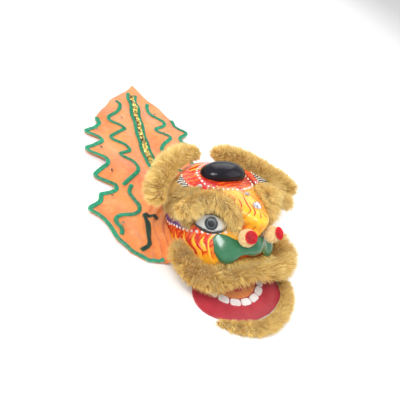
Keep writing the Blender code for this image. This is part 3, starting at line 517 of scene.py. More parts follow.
@dataclass(frozen=True)
class EyePaint:
    """The eye's painted lacquer, drawn in the eye's own flat coordinates (the attribute Face, in metres).

    Attributes:
        white: the colour of the white of the eye.
        shadow: the colour of its dirtier places.
        grey: the iris's colour.
        ring: the lighter ring round the pupil.
        pupil: the pupil's colour.
        corner: the blush in the outer corner.
        iris_radius: how far the iris reaches.
        pupil_radius: how far the pupil reaches.
        corner_place: how far the outer corner is from the middle.
    """

    white: Colour = (0.54, 0.54, 0.51)
    shadow: Colour = (0.40, 0.41, 0.41)
    grey: Colour = (0.035, 0.04, 0.045)
    ring: Colour = (0.10, 0.115, 0.12)
    pupil: Colour = (0.012, 0.014, 0.016)
    corner: Colour = (0.42, 0.24, 0.16)
    iris_radius: float = 0.0138
    pupil_radius: float = 0.0074
    corner_place: float = 0.039

    def make(self) -> bpy.types.Material:
        """Make the material."""
        tree = Surface("eye_paint")
        face = tree.attribute("Face", "Vector")
        grain = tree.group(MOTTLE, 60.0).outputs
        ragged = tree.ramp(grain["Tone"], 0.2, 0.8, -0.0006, 0.0006)
        ragged = tree.math("ADD", tree.distance(face, (0.0, 0.0, 0.0)), ragged)
        blush = tree.distance(face, (-self.corner_place, 0.0, 0.0))
        colour = tree.mix(tree.ramp(grain["Tone"], 0.3, 0.8), self.white, self.shadow)
        colour = tree.mix(tree.ramp(blush, 0.005, 0.014, 0.85, 0.0), colour, self.corner)
        edge = self.iris_radius
        inner = self.pupil_radius
        rings = (
            (edge - 0.0004, edge + 0.0012, 1.0, self.grey),
            (inner + 0.0010, inner + 0.0030, 0.75, self.ring),
            (inner - 0.0008, inner + 0.0006, 1.0, self.pupil),
        )
        for low, high, share, shade in rings:
            colour = tree.mix(tree.ramp(ragged, low, high, share, 0.0), colour, shade)
        rough = tree.ramp(grain["Height"], 0.3, 0.7, 0.26, 0.36)
        tree.shade(colour, rough, {"Coat Weight": 0.05, "Specular IOR Level": 0.25})
        tree.bump(grain["Height"], 0.00006)
        return tree.material


@dataclass(frozen=True)
class ClothFinish:
    """The cape's light orange satin: a fine weave, painted shade and painted light for its folds, painted
    shade along its creases, and a slight sheen.

    Attributes:
        colour: the colour of most of it.
        shade: painted shade, the darker colour laid in broad patches for the shade of its folds.
        light: painted light, the lighter colour laid in fine patches where it would catch the light.
        crease: painted shade, the darker colour laid in thin lines along its creases.
    """

    colour: Colour = (0.90, 0.29, 0.055)
    shade: Colour = (0.74, 0.17, 0.022)
    light: Colour = (0.98, 0.46, 0.18)
    crease: Colour = (0.62, 0.12, 0.015)

    def make(self) -> bpy.types.Material:
        """Make the material."""
        tree = Surface("cape_cloth")
        scales = (9.0, 45.0, 13.0, 21.0)
        large, fine, folded, crumple = (tree.group(MOTTLE, scale).outputs for scale in scales)
        # Painted shade in broad patches and painted light in fine ones stand in for the light and shade of
        # the folds.
        colour = tree.mix(tree.ramp(large["Tone"], 0.35, 0.70), self.colour, self.shade)
        colour = tree.mix(tree.ramp(fine["Tone"], 0.45, 0.85, 0.0, 0.55), colour, self.light)
        # Painted crease shade: thin darker lines, laid only within the broad patches.
        crease = tree.math("ABSOLUTE", tree.math("SUBTRACT", folded["Tone"], 0.5))
        there = tree.ramp(large["Tone"], 0.4, 0.6)
        deep = tree.math("MULTIPLY", tree.ramp(crease, 0.0, 0.03, 0.6, 0.0), there)
        colour = tree.mix(deep, colour, self.crease)
        tree.shade(colour, tree.ramp(fine["Tone"], 0.3, 0.7, 0.42, 0.58), {"Sheen Weight": 0.35})
        height = tree.group(WEAVE, 320.0).outputs["Height"]
        for relief, depth in ((fine["Height"], 3.0), (crumple["Tone"], 40.0)):
            height = tree.math("ADD", height, tree.math("MULTIPLY", relief, depth))
        tree.bump(height, 0.00026)
        return tree.material


# Fur

# A blade strays from the comb, droops towards its tip, bends partway up, and is rooted under the surface.
STRAY = 0.24
DROOP = 0.28
BEND = 0.55
ROOTED = 0.002
# The upward part of the normal below which a blade counts as growing on the underside.
UNDERSIDE = -0.3
OFF_FLOOR = 0.0006
# Over the mouth a strip is cut short below this height, more and more over this depth.
CUT_TOP = 0.062
CUT_FADE = 0.03
# The soft body under the blades is coloured as the blades are near their roots; on the golden fur that colour
# is partly painted shade deep in the pile.
BODY_ALONG = 0.12
BODY_SHADE = 0.5


def sector(u: float, v: float, count: int) -> int:
    """Return which of a number of equal sectors round the origin the point (u, v) is in."""
    return int((math.atan2(v, u) + math.pi) / math.tau * count) % count


def sample_surface(item: bpy.types.Object, count: int, chance: Chance) -> tuple:
    """Scatter points evenly over a mesh.

    Args:
        item: the object.
        count: how many points.
        chance: the source of random numbers.

    Returns:
        The points and the normals there, as arrays of three columns.
    """
    mesh = item.data
    mesh.calc_loop_triangles()
    points = np.array([vertex.co for vertex in mesh.vertices])
    normals = np.array([vertex.normal for vertex in mesh.vertices])
    corners = np.array([triangle.vertices for triangle in mesh.loop_triangles])
    areas = np.array([triangle.area for triangle in mesh.loop_triangles])
    picked = corners[chance.choice(len(corners), count, p=areas / areas.sum())]
    a = chance.rand(count, 1)
    b = chance.rand(count, 1)
    over = (a + b) > 1.0
    a = np.where(over, 1.0 - a, a)
    b = np.where(over, 1.0 - b, b)
    weights = np.stack([1.0 - a - b, a, b], axis=1)
    spots = (points[picked] * weights).sum(axis=1)
    lifts = unit((normals[picked] * weights).sum(axis=1))
    return spots, lifts


def unit(vectors: np.ndarray) -> np.ndarray:
    """Scale each row to a length of one."""
    return vectors / np.maximum(np.linalg.norm(vectors, axis=1, keepdims=True), 1e-9)


@dataclass
class Fur:
    """A strip of deep pile: a soft body over the CAD solid's form, and combed blades that grow from it.

    Attributes:
        node: the CAD node that the fur stands for.
        body: the body that it rides on.
        strands: how many blades it has.
        length: the length of a blade.
        comb: the way that the blades are combed.
        away_from: a place that they are also combed away from, or None.
        raised: how strongly blades on the upper side are combed up again.
        under: how long the blades on the lower side are, as a share of the others.
        shrink: how far the soft body lies under the CAD solid's skin.
        cut: how much its lower edge is cut short over the mouth.
        lift: how much a blade stands up instead of lying along the comb.
        clumps: how many locks the blades gather into.
        width: a blade's width at its root.
        seed: the start of the random numbers.
    """

    node: str
    body: Body
    strands: int
    length: float
    comb: tuple[float, float, float]
    away_from: tuple[float, float, float] | None = None
    raised: float = 0.0
    under: float = 1.0
    shrink: float = 0.005
    cut: float = 0.0
    lift: float = 0.75
    clumps: int = 260
    width: float = 0.0011
    seed: int = 3

    def build(self) -> bpy.types.Object:
        """Model the soft body from the CAD solid and let the blades grow."""
        core = copy_of_node(self.node, self.node + "_pile")
        apply_modifier(core, "SUBSURF", levels=1, render_levels=1)
        apply_modifier(core, "SMOOTH", factor=0.8, iterations=6)
        apply_modifier(core, "DISPLACE", strength=-self.shrink, mid_level=0.0)
        for vertex in core.data.vertices:
            if vertex.co.y < MOUTH_FRONT_Y:
                front = max(0.0, 1.0 - (vertex.co.x / MOUTH_HALF_WIDTH) ** 2)
                vertex.co.z += self.cut * front * within((CUT_TOP - vertex.co.z) / CUT_FADE)
        chance = Chance(self.seed)
        roots, normals = sample_surface(core, self.strands, chance)
        blades = self.grow(roots, normals, chance)
        smooth(core)
        corners = np.ones(len(core.data.vertices))
        self.mark(core, corners * BODY_ALONG, corners * BODY_SHADE)
        select_only(blades)
        core.select_set(True)
        bpy.ops.object.join()
        blades.data.update()
        return blades

    def cover(self, ground: bpy.types.Object, inside: Callable) -> bpy.types.Object:
        """Let blades grow from the part of a painted surface that the fur's long hair hides.

        Args:
            ground: the surface.
            inside: a test of which of its points are covered.

        Returns:
            The blades as one object.
        """
        chance = Chance(self.seed)
        roots, normals = sample_surface(ground, self.strands * 12, chance)
        kept = [index for index, root in enumerate(roots) if inside(root, normals[index])][: self.strands]
        return self.grow(roots[kept], normals[kept], chance)

    def mark(self, item: bpy.types.Object, along: np.ndarray, shade: np.ndarray) -> None:
        """Write each vertex's place along its blade and its lock's shade as attributes."""
        for name, values in (("Along", along), ("Shade", shade)):
            attribute = item.data.attributes.new(name, "FLOAT", "POINT")
            attribute.data.foreach_set("value", values.astype(np.float32))

    def grow(self, roots: np.ndarray, normals: np.ndarray, chance: Chance) -> bpy.types.Object:
        """Model the blades as thin tapered strips that bend along the comb and gather in locks.

        Args:
            roots: the blades' roots.
            normals: the surface's normals there.
            chance: the source of random numbers.

        Returns:
            The blades as one object.
        """
        count = len(roots)
        comb = np.tile(self.comb, (count, 1))
        if self.away_from:
            comb = comb + unit((roots - np.array(self.away_from)) * np.array([1.0, 1.0, 0.0]))
        comb = unit(comb)
        comb[:, 2] += self.raised * np.maximum(normals[:, 2], 0.0)
        wander = chance.normal(0.0, STRAY, (count, 3))
        way = unit(normals * self.lift + comb * (1.0 - self.lift) + wander)
        length = self.length * (0.65 + 0.5 * chance.rand(count, 1))
        length = np.where(normals[:, 2:] < UNDERSIDE, length * self.under, length)
        tips = roots + way * length + comb * length * DROOP
        leaders = chance.choice(count, self.clumps, replace=False)
        near = np.argmin(((roots[:, None, :] - roots[None, leaders, :]) ** 2).sum(axis=2), axis=1)
        gather = 0.16 + 0.36 * chance.rand(count, 1)
        tips = tips * (1.0 - gather) + tips[leaders][near] * gather
        bend = roots + way * length * BEND
        aside = unit(np.cross(way, chance.normal(0.0, 1.0, (count, 3))))
        width = self.width * (0.7 + 0.6 * chance.rand(count, 1))
        below = roots - normals * ROOTED
        rows = [below - aside * width / 2, below + aside * width / 2]
        rows += [bend - aside * width * 0.38, bend + aside * width * 0.38, tips]
        points = np.stack(rows, axis=1).reshape(-1, 3)
        points[:, 2] = np.maximum(points[:, 2], OFF_FLOOR)
        first = np.arange(count)[:, None] * 5
        quads = (first + np.array([[0, 1, 3, 2]])).tolist()
        ends = (first + np.array([[2, 3, 4]])).tolist()
        item = mesh_piece(self.node + "_blades", points, quads + ends)
        shade = (chance.rand(self.clumps)[near] * 0.6 + chance.rand(count) * 0.4)
        self.mark(item, np.tile([0.0, 0.0, BEND, BEND, 1.0], count), np.repeat(shade, 5))
        return item

    def dress(self, item: bpy.types.Object, material: bpy.types.Material, slot: str) -> None:
        """Name the fur, colour it and let it ride. A hair stands for no CAD node."""
        if "hair" in self.node:
            item.name = self.node
            finish(item, (material,), self.body, slot)
        else:
            item.name = self.node.replace("_fur", "") + "_pile"
            finish(item, (material,), self.body, slot, self.node)


# Paint laid on by hand


STROKE_SECTION = ((-1.0, -0.6), (-0.7, 0.8), (0.0, 1.0), (0.7, 0.8), (1.0, -0.6), (0.0, -2.0))
DOT_SECTION = ((0.72, 0.70), (1.0, -0.5))
DOT_SIDES = 8


@dataclass
class Brush:
    """Thick paint on a surface: tapered strokes and raised dots, all of one colour.

    Attributes:
        surface: the surface that is painted.
        points: the paint's points so far.
        faces: the paint's faces so far.
    """

    surface: BVHTree
    points: list = field(default_factory=list)
    faces: list = field(default_factory=list)

    def foot(self, place: Vector) -> tuple:
        """Return the nearest point of the surface, and the normal there."""
        spot, normal, _, _ = self.surface.find_nearest(place)
        return spot, normal

    def stroke(self, path: list, widths: tuple, thick: float = 0.0006, steps: int = 5) -> None:
        """Lay a stroke whose width changes evenly through the given widths.

        Args:
            path: the places that it passes.
            widths: its widths from start to end.
            thick: how thick the paint is.
            steps: how many steps there are between two places.
        """
        spots = [self.foot(place) for place in curve_through(path, steps)]
        shares = np.linspace(0.0, 1.0, len(widths))
        rows = []
        for index, (place, normal) in enumerate(spots):
            along = spots[min(index + 1, len(spots) - 1)][0] - spots[max(index - 1, 0)][0]
            aside = normal.cross(along).normalized()
            half = float(np.interp(index / (len(spots) - 1), shares, widths)) / 2
            row = []
            for share, lift in STROKE_SECTION:
                spot, up = self.foot(place + aside * share * half)
                row.append(spot + up * lift * thick)
            rows.append(row)
        self.tube(rows)

    def tube(self, rows: list) -> None:
        """Add a tube through the rows of points, closed at both ends."""
        first = len(self.points)
        size = len(rows[0])
        for row in rows:
            self.points.extend(row)
        for step in range(len(rows) - 1):
            for corner in range(size):
                a = first + step * size + corner
                b = first + step * size + (corner + 1) % size
                self.faces.append((a, b, b + size, a + size))
        self.faces.append(tuple(range(first, first + size))[::-1])
        last = first + (len(rows) - 1) * size
        self.faces.append(tuple(range(last, last + size)))

    def dot(self, place: Vector, radius: float, rise: float = 0.0020) -> None:
        """Set a raised round dot."""
        spot, normal = self.foot(place)
        side = normal.orthogonal().normalized()
        across = normal.cross(side)
        first = len(self.points)
        self.points.append(spot + normal * rise)
        for share, lift in DOT_SECTION:
            for step in range(DOT_SIDES):
                angle = math.tau * step / DOT_SIDES
                out = side * math.cos(angle) + across * math.sin(angle)
                self.points.append(spot + out * radius * share + normal * rise * lift)
        self.points.append(spot - normal * rise)
        last = len(self.points) - 1
        for step in range(DOT_SIDES):
            a = first + 1 + step
            b = first + 1 + (step + 1) % DOT_SIDES
            self.faces.append((first, a, b))
            self.faces.append((a, a + DOT_SIDES, b + DOT_SIDES, b))
            self.faces.append((a + DOT_SIDES, last, b + DOT_SIDES))

    def dots(self, path: list, spacing: float, radius: float) -> None:
        """Set a row of dots along a curve, each a little larger or smaller than the last."""
        for index, place in enumerate(resample(curve_through(path, 8), spacing)):
            self.dot(place, radius * (1.0 + 0.16 * math.sin(index * 2.3)))

    def lift_off(self, name: str) -> bpy.types.Object:
        """Make all the paint laid so far one object."""
        item = mesh_piece(name, self.points, self.faces)
        face_outwards(item)
        smooth(item, SOFT_ANGLE)
        return item


Route = tuple[tuple[float, float, float], ...]


def mirrored(route: Route, side: Side) -> list:
    """Return a route in millimetres from the head's middle as places on the given side of the frame."""
    return [on_head(-side.value * x / 1000, y / 1000, z / 1000) for x, y, z in route]


@dataclass
class PaintedShell:
    """The lacquered papier-mache shell with its flames, dots and brushed lines.

    Routes are in millimetres from the head's middle on the right side, and are mirrored to the left.
    """

    flames: tuple = (
        ((-110, 2, 20), (-109, 14, 20), (-107, 34, 17), (-105, 52, 17), (-105, 62, 22)),
        ((-110, -30, 34), (-112, -9, 42), (-111, 12, 36), (-110, 30, 35), (-111, 40, 44)),
        ((-108, -46, 50), (-112, -26, 60), (-113, -8, 57), (-113, 8, 61), (-113, 12, 73)),
        ((-101, -54, 60), (-106, -38, 74), (-110, -22, 75), (-110, -13, 82), (-107, -10, 93)),
        ((-93, -62, 70), (-98, -47, 84), (-102, -36, 87), (-102, -30, 92), (-96, -26, 103)),
        ((-112, 26, 14), (-109, 40, 14), (-104, 66, 14), (-100, 84, 16), (-99, 92, 22)),
    )
    embers: tuple = (
        ((-111, 26, 54), (-113, 12, 48), (-112, 0, 48), (-111, -20, 48), (-109, -30, 42)),
        ((-113, 0, 80), (-113, -4, 70), (-113, -14, 66), (-109, -33, 68), (-105, -44, 64)),
        ((-105, -20, 98), (-107, -23, 88), (-106, -30, 80), (-102, -43, 78), (-96, -54, 70)),
        ((-109, 52, 40), (-110, 40, 30), (-110, 24, 26), (-110, 10, 28), (-110, -6, 28)),
        ((-90, -32, 108), (-96, -35, 100), (-97, -44, 92), (-95, -54, 84)),
    )
    crown_flames: tuple = (
        ((-44, 128, 152), (-62, 131, 148), (-81, 124, 144)),
        ((-66, 108, 154), (-80, 113, 148), (-92, 110, 143)),
        ((-74, 88, 156), (-84, 92, 152), (-90, 86, 149)),
        ((-24, 150, 147), (-45, 148, 145), (-65, 139, 143)),
        ((-50, 45, 168), (-43, 34, 172), (-34, 23, 176)),
        ((-28, 34, 176), (-20, 22, 180), (-15, 8, 184)),
        ((-60, 56, 164), (-58, 44, 165), (-52, 32, 168)),
        ((-12, 162, 143), (-26, 164, 138), (-44, 158, 134)),
        ((-84, 72, 156), (-90, 60, 148), (-96, 48, 138)),
    )
    bridge_lines: tuple = (
        ((-6, 20, 184), (-15, 2, 186), (-19, -18, 186), (-20, -33, 184), (-29, -38, 180), (-33, -40, 160)),
        ((-12, -12, 188), (-13, -38, 188), (-20, -48, 183), (-26, -53, 158)),
        ((-2, -40, 190), (-8, -58, 184), (-15, -64, 164), (-22, -66, 148)),
        ((-36, 18, 177), (-40, -4, 174), (-44, -20, 160), (-50, -30, 146)),
        ((-28, 8, 181), (-31, -14, 181), (-38, -28, 168)),
    )
    under_eye: Route = (
        (-80, 141, 30), (-86, 130, 23), (-95, 105, 22), (-103, 78, 29), (-108, 60, 44), (-113, 28, 68),
        (-110, 0, 90), (-99, -18, 106), (-82, -36, 118), (-62, -42, 128),
    )
    round_horn: Route = (
        (-11, 152, 146), (-42, 135, 150), (-60, 120, 152), (-69, 96, 156), (-68, 65, 161), (-47, 46, 169),
        (-14, 34, 178), (0, 30, 180),
    )
    purple: Route = (
        (-94, 113, 31), (-98, 99, 31), (-106, 71, 46), (-112, 40, 68), (-112, 21, 80), (-110, 8, 92),
    )
    nostril_line: Route = (
        (-58, -42, 131), (-74, -38, 121), (-88, -36, 108), (-95, -42, 97), (-94, -54, 88), (-90, -66, 76),
        (-80, -78, 66),
    )
    strokes: tuple = (
        ("paint_yellow", flames, (0.0150, 0.0130, 0.0110, 0.0075, 0.0008), 0.0006),
        ("paint_red", embers, (0.0008, 0.0085, 0.0090, 0.0060, 0.0006), 0.0008),
        ("paint_yellow", crown_flames, (0.0030, 0.0072, 0.0010), 0.0006),
        ("paint_dark_red", bridge_lines, (0.0006, 0.0038, 0.0030, 0.0005), 0.0006),
        ("paint_yellow", (nostril_line,), (0.001, 0.005, 0.006, 0.005, 0.004), 0.0006),
        ("paint_violet", (purple,), (0.009, 0.016, 0.019, 0.016, 0.010, 0.001), 0.0006),
    )
    dots: tuple = ((under_eye, 0.0130, 0.0040), (round_horn, 0.0112, 0.0032))
    paints: ClassVar[dict[str, Finish]] = {
        "flames_yellow": Finish("paint_yellow", (0.95, 0.52, 0.045), (0.93, 0.36, 0.02), 0.35, 0.3),
        "flames_red": Finish("paint_red", (0.66, 0.030, 0.009), (0.48, 0.014, 0.008), 0.35, 0.3),
        "bridge_lines": Finish("paint_dark_red", (0.66, 0.045, 0.010), (0.50, 0.024, 0.008), 0.35, 0.3),
        "shell_dots": Finish("paint_white", (0.86, 0.80, 0.76), (0.78, 0.62, 0.58), 0.3, 0.7),
        "cheek_patches": Finish("paint_violet", (0.10, 0.035, 0.23), (0.20, 0.08, 0.34), 0.4, 0.2),
    }

    def build(self) -> dict[str, bpy.types.Object]:
        """Model the shell and lay each colour of paint on it.

        Returns:
            The pieces by name.
        """
        shell = copy_of_node("head_shell", "painted_shell")
        with editing(shell, "DESELECT"):
            bpy.ops.mesh.edges_select_sharp(sharpness=math.radians(55))
            bpy.ops.transform.edge_crease(value=0.9)
        apply_modifier(shell, "SUBSURF", levels=2, render_levels=2)
        smooth(shell)
        surface = surface_of(shell)
        brushes = {colour.name: Brush(surface) for colour in self.paints.values()}
        for side in Side:
            for name, routes, widths, thick in self.strokes:
                for route in routes:
                    brushes[name].stroke(mirrored(route, side), widths, thick)
            for route, spacing, radius in self.dots:
                brushes["paint_white"].dots(mirrored(route, side), spacing, radius)
        pieces = {name: brushes[colour.name].lift_off(name) for name, colour in self.paints.items()}
        return {"painted_shell": shell, **pieces}

    def dress(self, pieces: dict[str, bpy.types.Object]) -> None:
        """Paint the pieces and let them ride on the head."""
        finish(pieces["painted_shell"], (ShellPaint().make(),), Body.HEAD, "shell_paint", "head_shell")
        for name, colour in self.paints.items():
            finish(pieces[name], (colour.make(),), Body.HEAD, "shell_paint")


@dataclass
class EarPatches:
    """The two boards under the ear furs: black lacquer with white wavy strokes and a row of dots."""

    strokes: tuple = (
        ((-114, 99, 151), (-124, 104, 151), (-133, 101, 151), (-143, 106, 151)),
        ((-113, 92, 151), (-124, 95, 151), (-134, 91, 151), (-144, 95, 151)),
        ((-112, 86, 151), (-123, 88, 151), (-132, 83, 151), (-142, 85, 151)),
        ((-111, 79, 151), (-121, 80, 151), (-130, 75, 151), (-139, 76, 151)),
        ((-112, 106, 151), (-121, 113, 151), (-130, 111, 151), (-139, 117, 151)),
        ((-98, 72, 151), (-104, 64, 151), (-112, 62, 151), (-119, 55, 151)),
        ((-92, 66, 151), (-96, 58, 151), (-104, 55, 151), (-109, 47, 151)),
    )
    dots: Route = ((-108, 113, 151), (-110, 101, 151), (-110, 94, 151), (-110, 88, 151), (-107, 81, 151),
                   (-101, 76, 151), (-93, 72, 151), (-86, 68, 151))

    def build(self) -> list[bpy.types.Object]:
        """Lay the strokes and dots on each board."""
        pieces = []
        for side in Side:
            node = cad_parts[f"ear_board_{side.word}"]
            brush = Brush(surface_of(node))
            for route in self.strokes:
                brush.stroke(mirrored(route, side), (0.0030, 0.0024, 0.0018, 0.0006))
            brush.dots(mirrored(self.dots, side), 0.0074, 0.0022)
            pieces.append(brush.lift_off(f"ear_strokes_{side.word}"))
        return pieces

    def dress(self, pieces: list[bpy.types.Object]) -> None:
        """Paint the boards and their strokes."""
        black = ShellPaint("ear_board_paint", 0.1065, 0.1).make()
        white = Finish("ear_white", (0.84, 0.80, 0.70), (0.72, 0.62, 0.45), 0.35, 0.5).make()
        for side in Side:
            paint(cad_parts[f"ear_board_{side.word}"], black)
        for piece in pieces:
            finish(piece, (white,), Body.HEAD, "ear_black")


@dataclass
class Eyes:
    """The two domed eyes with their thick black outlines.

    Attributes:
        centre: the right eye's middle, in metres from the head's middle.
        across: the way from its outer corner to its inner one.
        look: the way that it faces.
        iris: the middle of its iris, from the eye's middle across and up.
        rim: the outline's half width.
        ahead: how far the outline lies in front of the ball's widest points, as a share of its half width.
        heavier: how much thicker it is over the eye than halfway down.
        depth: its depth, as a share of its width.
        sectors: how many points it has round the eye.
        sides: how many sides its section has.
    """

    centre: tuple[float, float, float] = (-0.086, -0.010, 0.127)
    across: tuple[float, float, float] = (0.82, -0.52, 0.23)
    look: tuple[float, float, float] = (-0.55, -0.66, 0.47)
    iris: tuple[float, float] = (0.002, 0.0)
    rim: float = 0.0036
    ahead: float = 0.4
    heavier: float = 0.35
    depth: float = 0.8
    sectors: int = 48
    sides: int = 8

    def build(self) -> list[bpy.types.Object]:
        """Model each eye's ball, mark its flat coordinates, and lay the outline round it."""
        pieces = []
        for side in Side:
            flip = Vector((-side.value, 1.0, 1.0))
            centre = on_head(*(Vector(self.centre) * flip))
            across = (Vector(self.across) * flip).normalized()
            look = (Vector(self.look) * flip).normalized()
            across = (across - look * across.dot(look)).normalized()
            high = look.cross(across)
            if high.z < 0.0:
                high.negate()
            ball = rounded_copy(f"eye_{side.word}", f"eye_ball_{side.word}")
            spots = [vertex.co - centre for vertex in ball.data.vertices]
            face = [(spot.dot(across) - self.iris[0], spot.dot(high) - self.iris[1], 0.0) for spot in spots]
            attribute = ball.data.attributes.new("Face", "FLOAT_VECTOR", "POINT")
            attribute.data.foreach_set("vector", np.array(face, dtype=np.float32).ravel())
            outline = self.outline(ball, centre, across, high)
            pieces.append((ball, self.line(outline, look, f"eye_line_{side.word}"), side))
        return pieces

    def outline(self, ball: bpy.types.Object, centre: Vector, across: Vector, high: Vector) -> list:
        """Return the ball's widest points, in order round the eye."""
        widest: dict[int, tuple] = {}
        for vertex in ball.data.vertices:
            spot = vertex.co - centre
            u, v = spot.dot(across), spot.dot(high)
            part, reach = sector(u, v, self.sectors), math.hypot(u, v)
            if part not in widest or reach > widest[part][0]:
                widest[part] = (reach, vertex.co.copy())
        return [widest[part][1] for part in sorted(widest)]

    def line(self, outline: list, look: Vector, name: str) -> bpy.types.Object:
        """Model the outline as a closed soft tube, thicker over the eye."""
        points, faces = [], []
        count = len(outline)
        for index in range(count):
            before, here, after = outline[index - 1], outline[index], outline[(index + 1) % count]
            here = (before + here * 2 + after) / 4 + look * self.rim * self.ahead
            along = (after - before).normalized()
            out = along.cross(look).normalized()
            radius = self.rim * (1.0 + self.heavier * math.sin(math.tau * index / count))
            row, next_row = index * self.sides, (index + 1) % count * self.sides
            for step in range(self.sides):
                angle = math.tau * step / self.sides
                points.append(here + (out * math.cos(angle) + look * math.sin(angle) * self.depth) * radius)
                beside = (step + 1) % self.sides
                faces.append((row + step, row + beside, next_row + beside, next_row + step))
        item = mesh_piece(name, points, faces)
        face_outwards(item)
        smooth(item)
        return item

    def dress(self, pieces: list[bpy.types.Object]) -> None:
        """Paint the balls and their outlines."""
        lacquer = EyePaint().make()
        black = Finish("eye_line_black", (0.008, 0.007, 0.007), (0.03, 0.02, 0.015), 0.25, 0.8).make()
        for ball, line, side in pieces:
            finish(ball, (lacquer,), Body.HEAD, "eye_gloss", f"eye_{side.word}")
            finish(line, (black,), Body.HEAD, "black_gloss")


def stone_material() -> bpy.types.Material:
    """Make cut glass with a foil back: bright, with painted reflections, flashes of grey and pink from facet
    to facet.
    """
    tree = Surface("clear_stone")
    glint_cells = tree.add("ShaderNodeTexVoronoi", {"Vector": tree.coords, "Scale": 420.0}, "Color")
    split = tree.place("ShaderNodeSeparateColor", {0: glint_cells}).outputs
    # Painted reflections: each facet is laid darker grey or pink at random, as if it caught a different
    # light.
    colour = tree.mix(tree.ramp(split[0], 0.2, 0.8), (0.88, 0.89, 0.92), (0.30, 0.32, 0.38))
    colour = tree.mix(tree.ramp(split[1], 0.75, 0.9), colour, (0.85, 0.52, 0.58))
    tree.shade(colour, 0.09, {"Metallic": 0.55, "Coat Weight": 1.0})
    return tree.material


@dataclass
class Bosses:
    """The lacquered horn and nose, and the glued-on stones."""

    stones: tuple = ("nose_stone", "forehead_stone", "brow_stone_right", "brow_stone_left")
    black: Finish = Finish(
        "horn_black", (0.007, 0.008, 0.012), (0.016, 0.011, 0.018), 0.16, 0.12, 30.0, 0.00024, specular=0.18
    )
    green: Finish = Finish("nose_green", (0.030, 0.150, 0.068), (0.046, 0.195, 0.098), 0.2, 0.3, 22.0, 0.0002)

    def build(self) -> list[bpy.types.Object]:
        """Model the horn and the nose as smooth bodies."""
        return [rounded_copy("horn", "horn_boss"), rounded_copy("nose", "nose_boss")]

    def dress(self, pieces: list[bpy.types.Object]) -> None:
        """Lacquer the bosses and give the stones their foil."""
        horn, nose = pieces
        finish(horn, (self.black.make(),), Body.HEAD, "black_gloss", "horn")
        finish(nose, (self.green.make(),), Body.HEAD, "nose_green", "nose")
        glass = stone_material()
        for node in self.stones:
            paint(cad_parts[node], glass)


@dataclass
class Mouth:
    """The lower jaw: a painted board with a felt palate, a tongue and a row of teeth.

    Attributes:
        teeth: how many teeth there are.
        bevel: how far their edges are rounded.
        rim: the width of the raised rim round a tooth.
        sunk: how deep the filling lies inside it.
        least_top: the least area of a face that counts as a tooth's top.
    """

    teeth: int = 9
    bevel: float = 0.0007
    rim: float = 0.0011
    sunk: float = 0.0003
    least_top: float = 0.00001

    def build(self) -> dict[str, bpy.types.Object]:
        """Model the tongue and the teeth with their raised rims."""
        pieces = {"tongue": rounded_copy("tongue", "tongue_body")}
        for number in range(1, self.teeth + 1):
            node = f"tooth_{number}"
            tooth = copy_of_node(node, f"{node}_enamel")
            apply_modifier(tooth, "BEVEL", width=self.bevel, segments=2, limit_method="ANGLE")
            with editing(tooth, "DESELECT"):
                bpy.ops.mesh.select_mode(type="FACE")
            for face in tooth.data.polygons:
                face.select = face.normal.z > UPWARD and face.area > self.least_top
            select_only(tooth)
            bpy.ops.object.mode_set(mode="EDIT")
            bpy.ops.mesh.inset(thickness=self.rim, depth=-self.sunk)
            bpy.ops.object.mode_set(mode="OBJECT")
            for face in tooth.data.polygons:
                face.material_index = int(face.select)
            smooth(tooth, math.radians(35))
            pieces[node] = tooth
        return pieces

    def dress(self, pieces: dict[str, bpy.types.Object]) -> None:
        """Paint the mouth and let its pieces ride on the jaw."""
        rim = Finish("tooth_rim", (0.90, 0.87, 0.85), (0.80, 0.72, 0.70), 0.35, 0.4)
        fill = Finish("tooth_fill", (0.82, 0.82, 0.79), (0.70, 0.71, 0.68), 0.4, 0.4, 90.0)
        enamel = (rim.make(), fill.make())
        red = Finish("tongue_red", (0.56, 0.030, 0.034), (0.40, 0.018, 0.022), 0.45, 0.3, 60.0, 0.0003).make()
        finish(pieces.pop("tongue"), (red,), Body.JAW, "tongue_red", "tongue")
        for node, piece in pieces.items():
            finish(piece, enamel, Body.JAW, "tooth_white", node)
        board = Finish("jaw_crimson", (0.48, 0.040, 0.060), (0.38, 0.026, 0.042), 0.42, 0.25, 26.0, 0.00012)
        orange, rust = (0.84, 0.30, 0.075), (0.74, 0.22, 0.05)
        felt = Finish("palate_orange", orange, rust, 0.75, 0.0, 50.0, 0.0002, woven=True, sheen=0.3)
        grey, dark = (0.42, 0.42, 0.43), (0.28, 0.28, 0.29)
        steel = Finish("rod_steel", grey, dark, 0.32, 0.0, 160.0, 0.00004, metal=1.0)
        for node, colour in (("jaw_board", board), ("palate", felt), ("hinge_rod", steel)):
            paint(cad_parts[node], colour.make())


# The cape


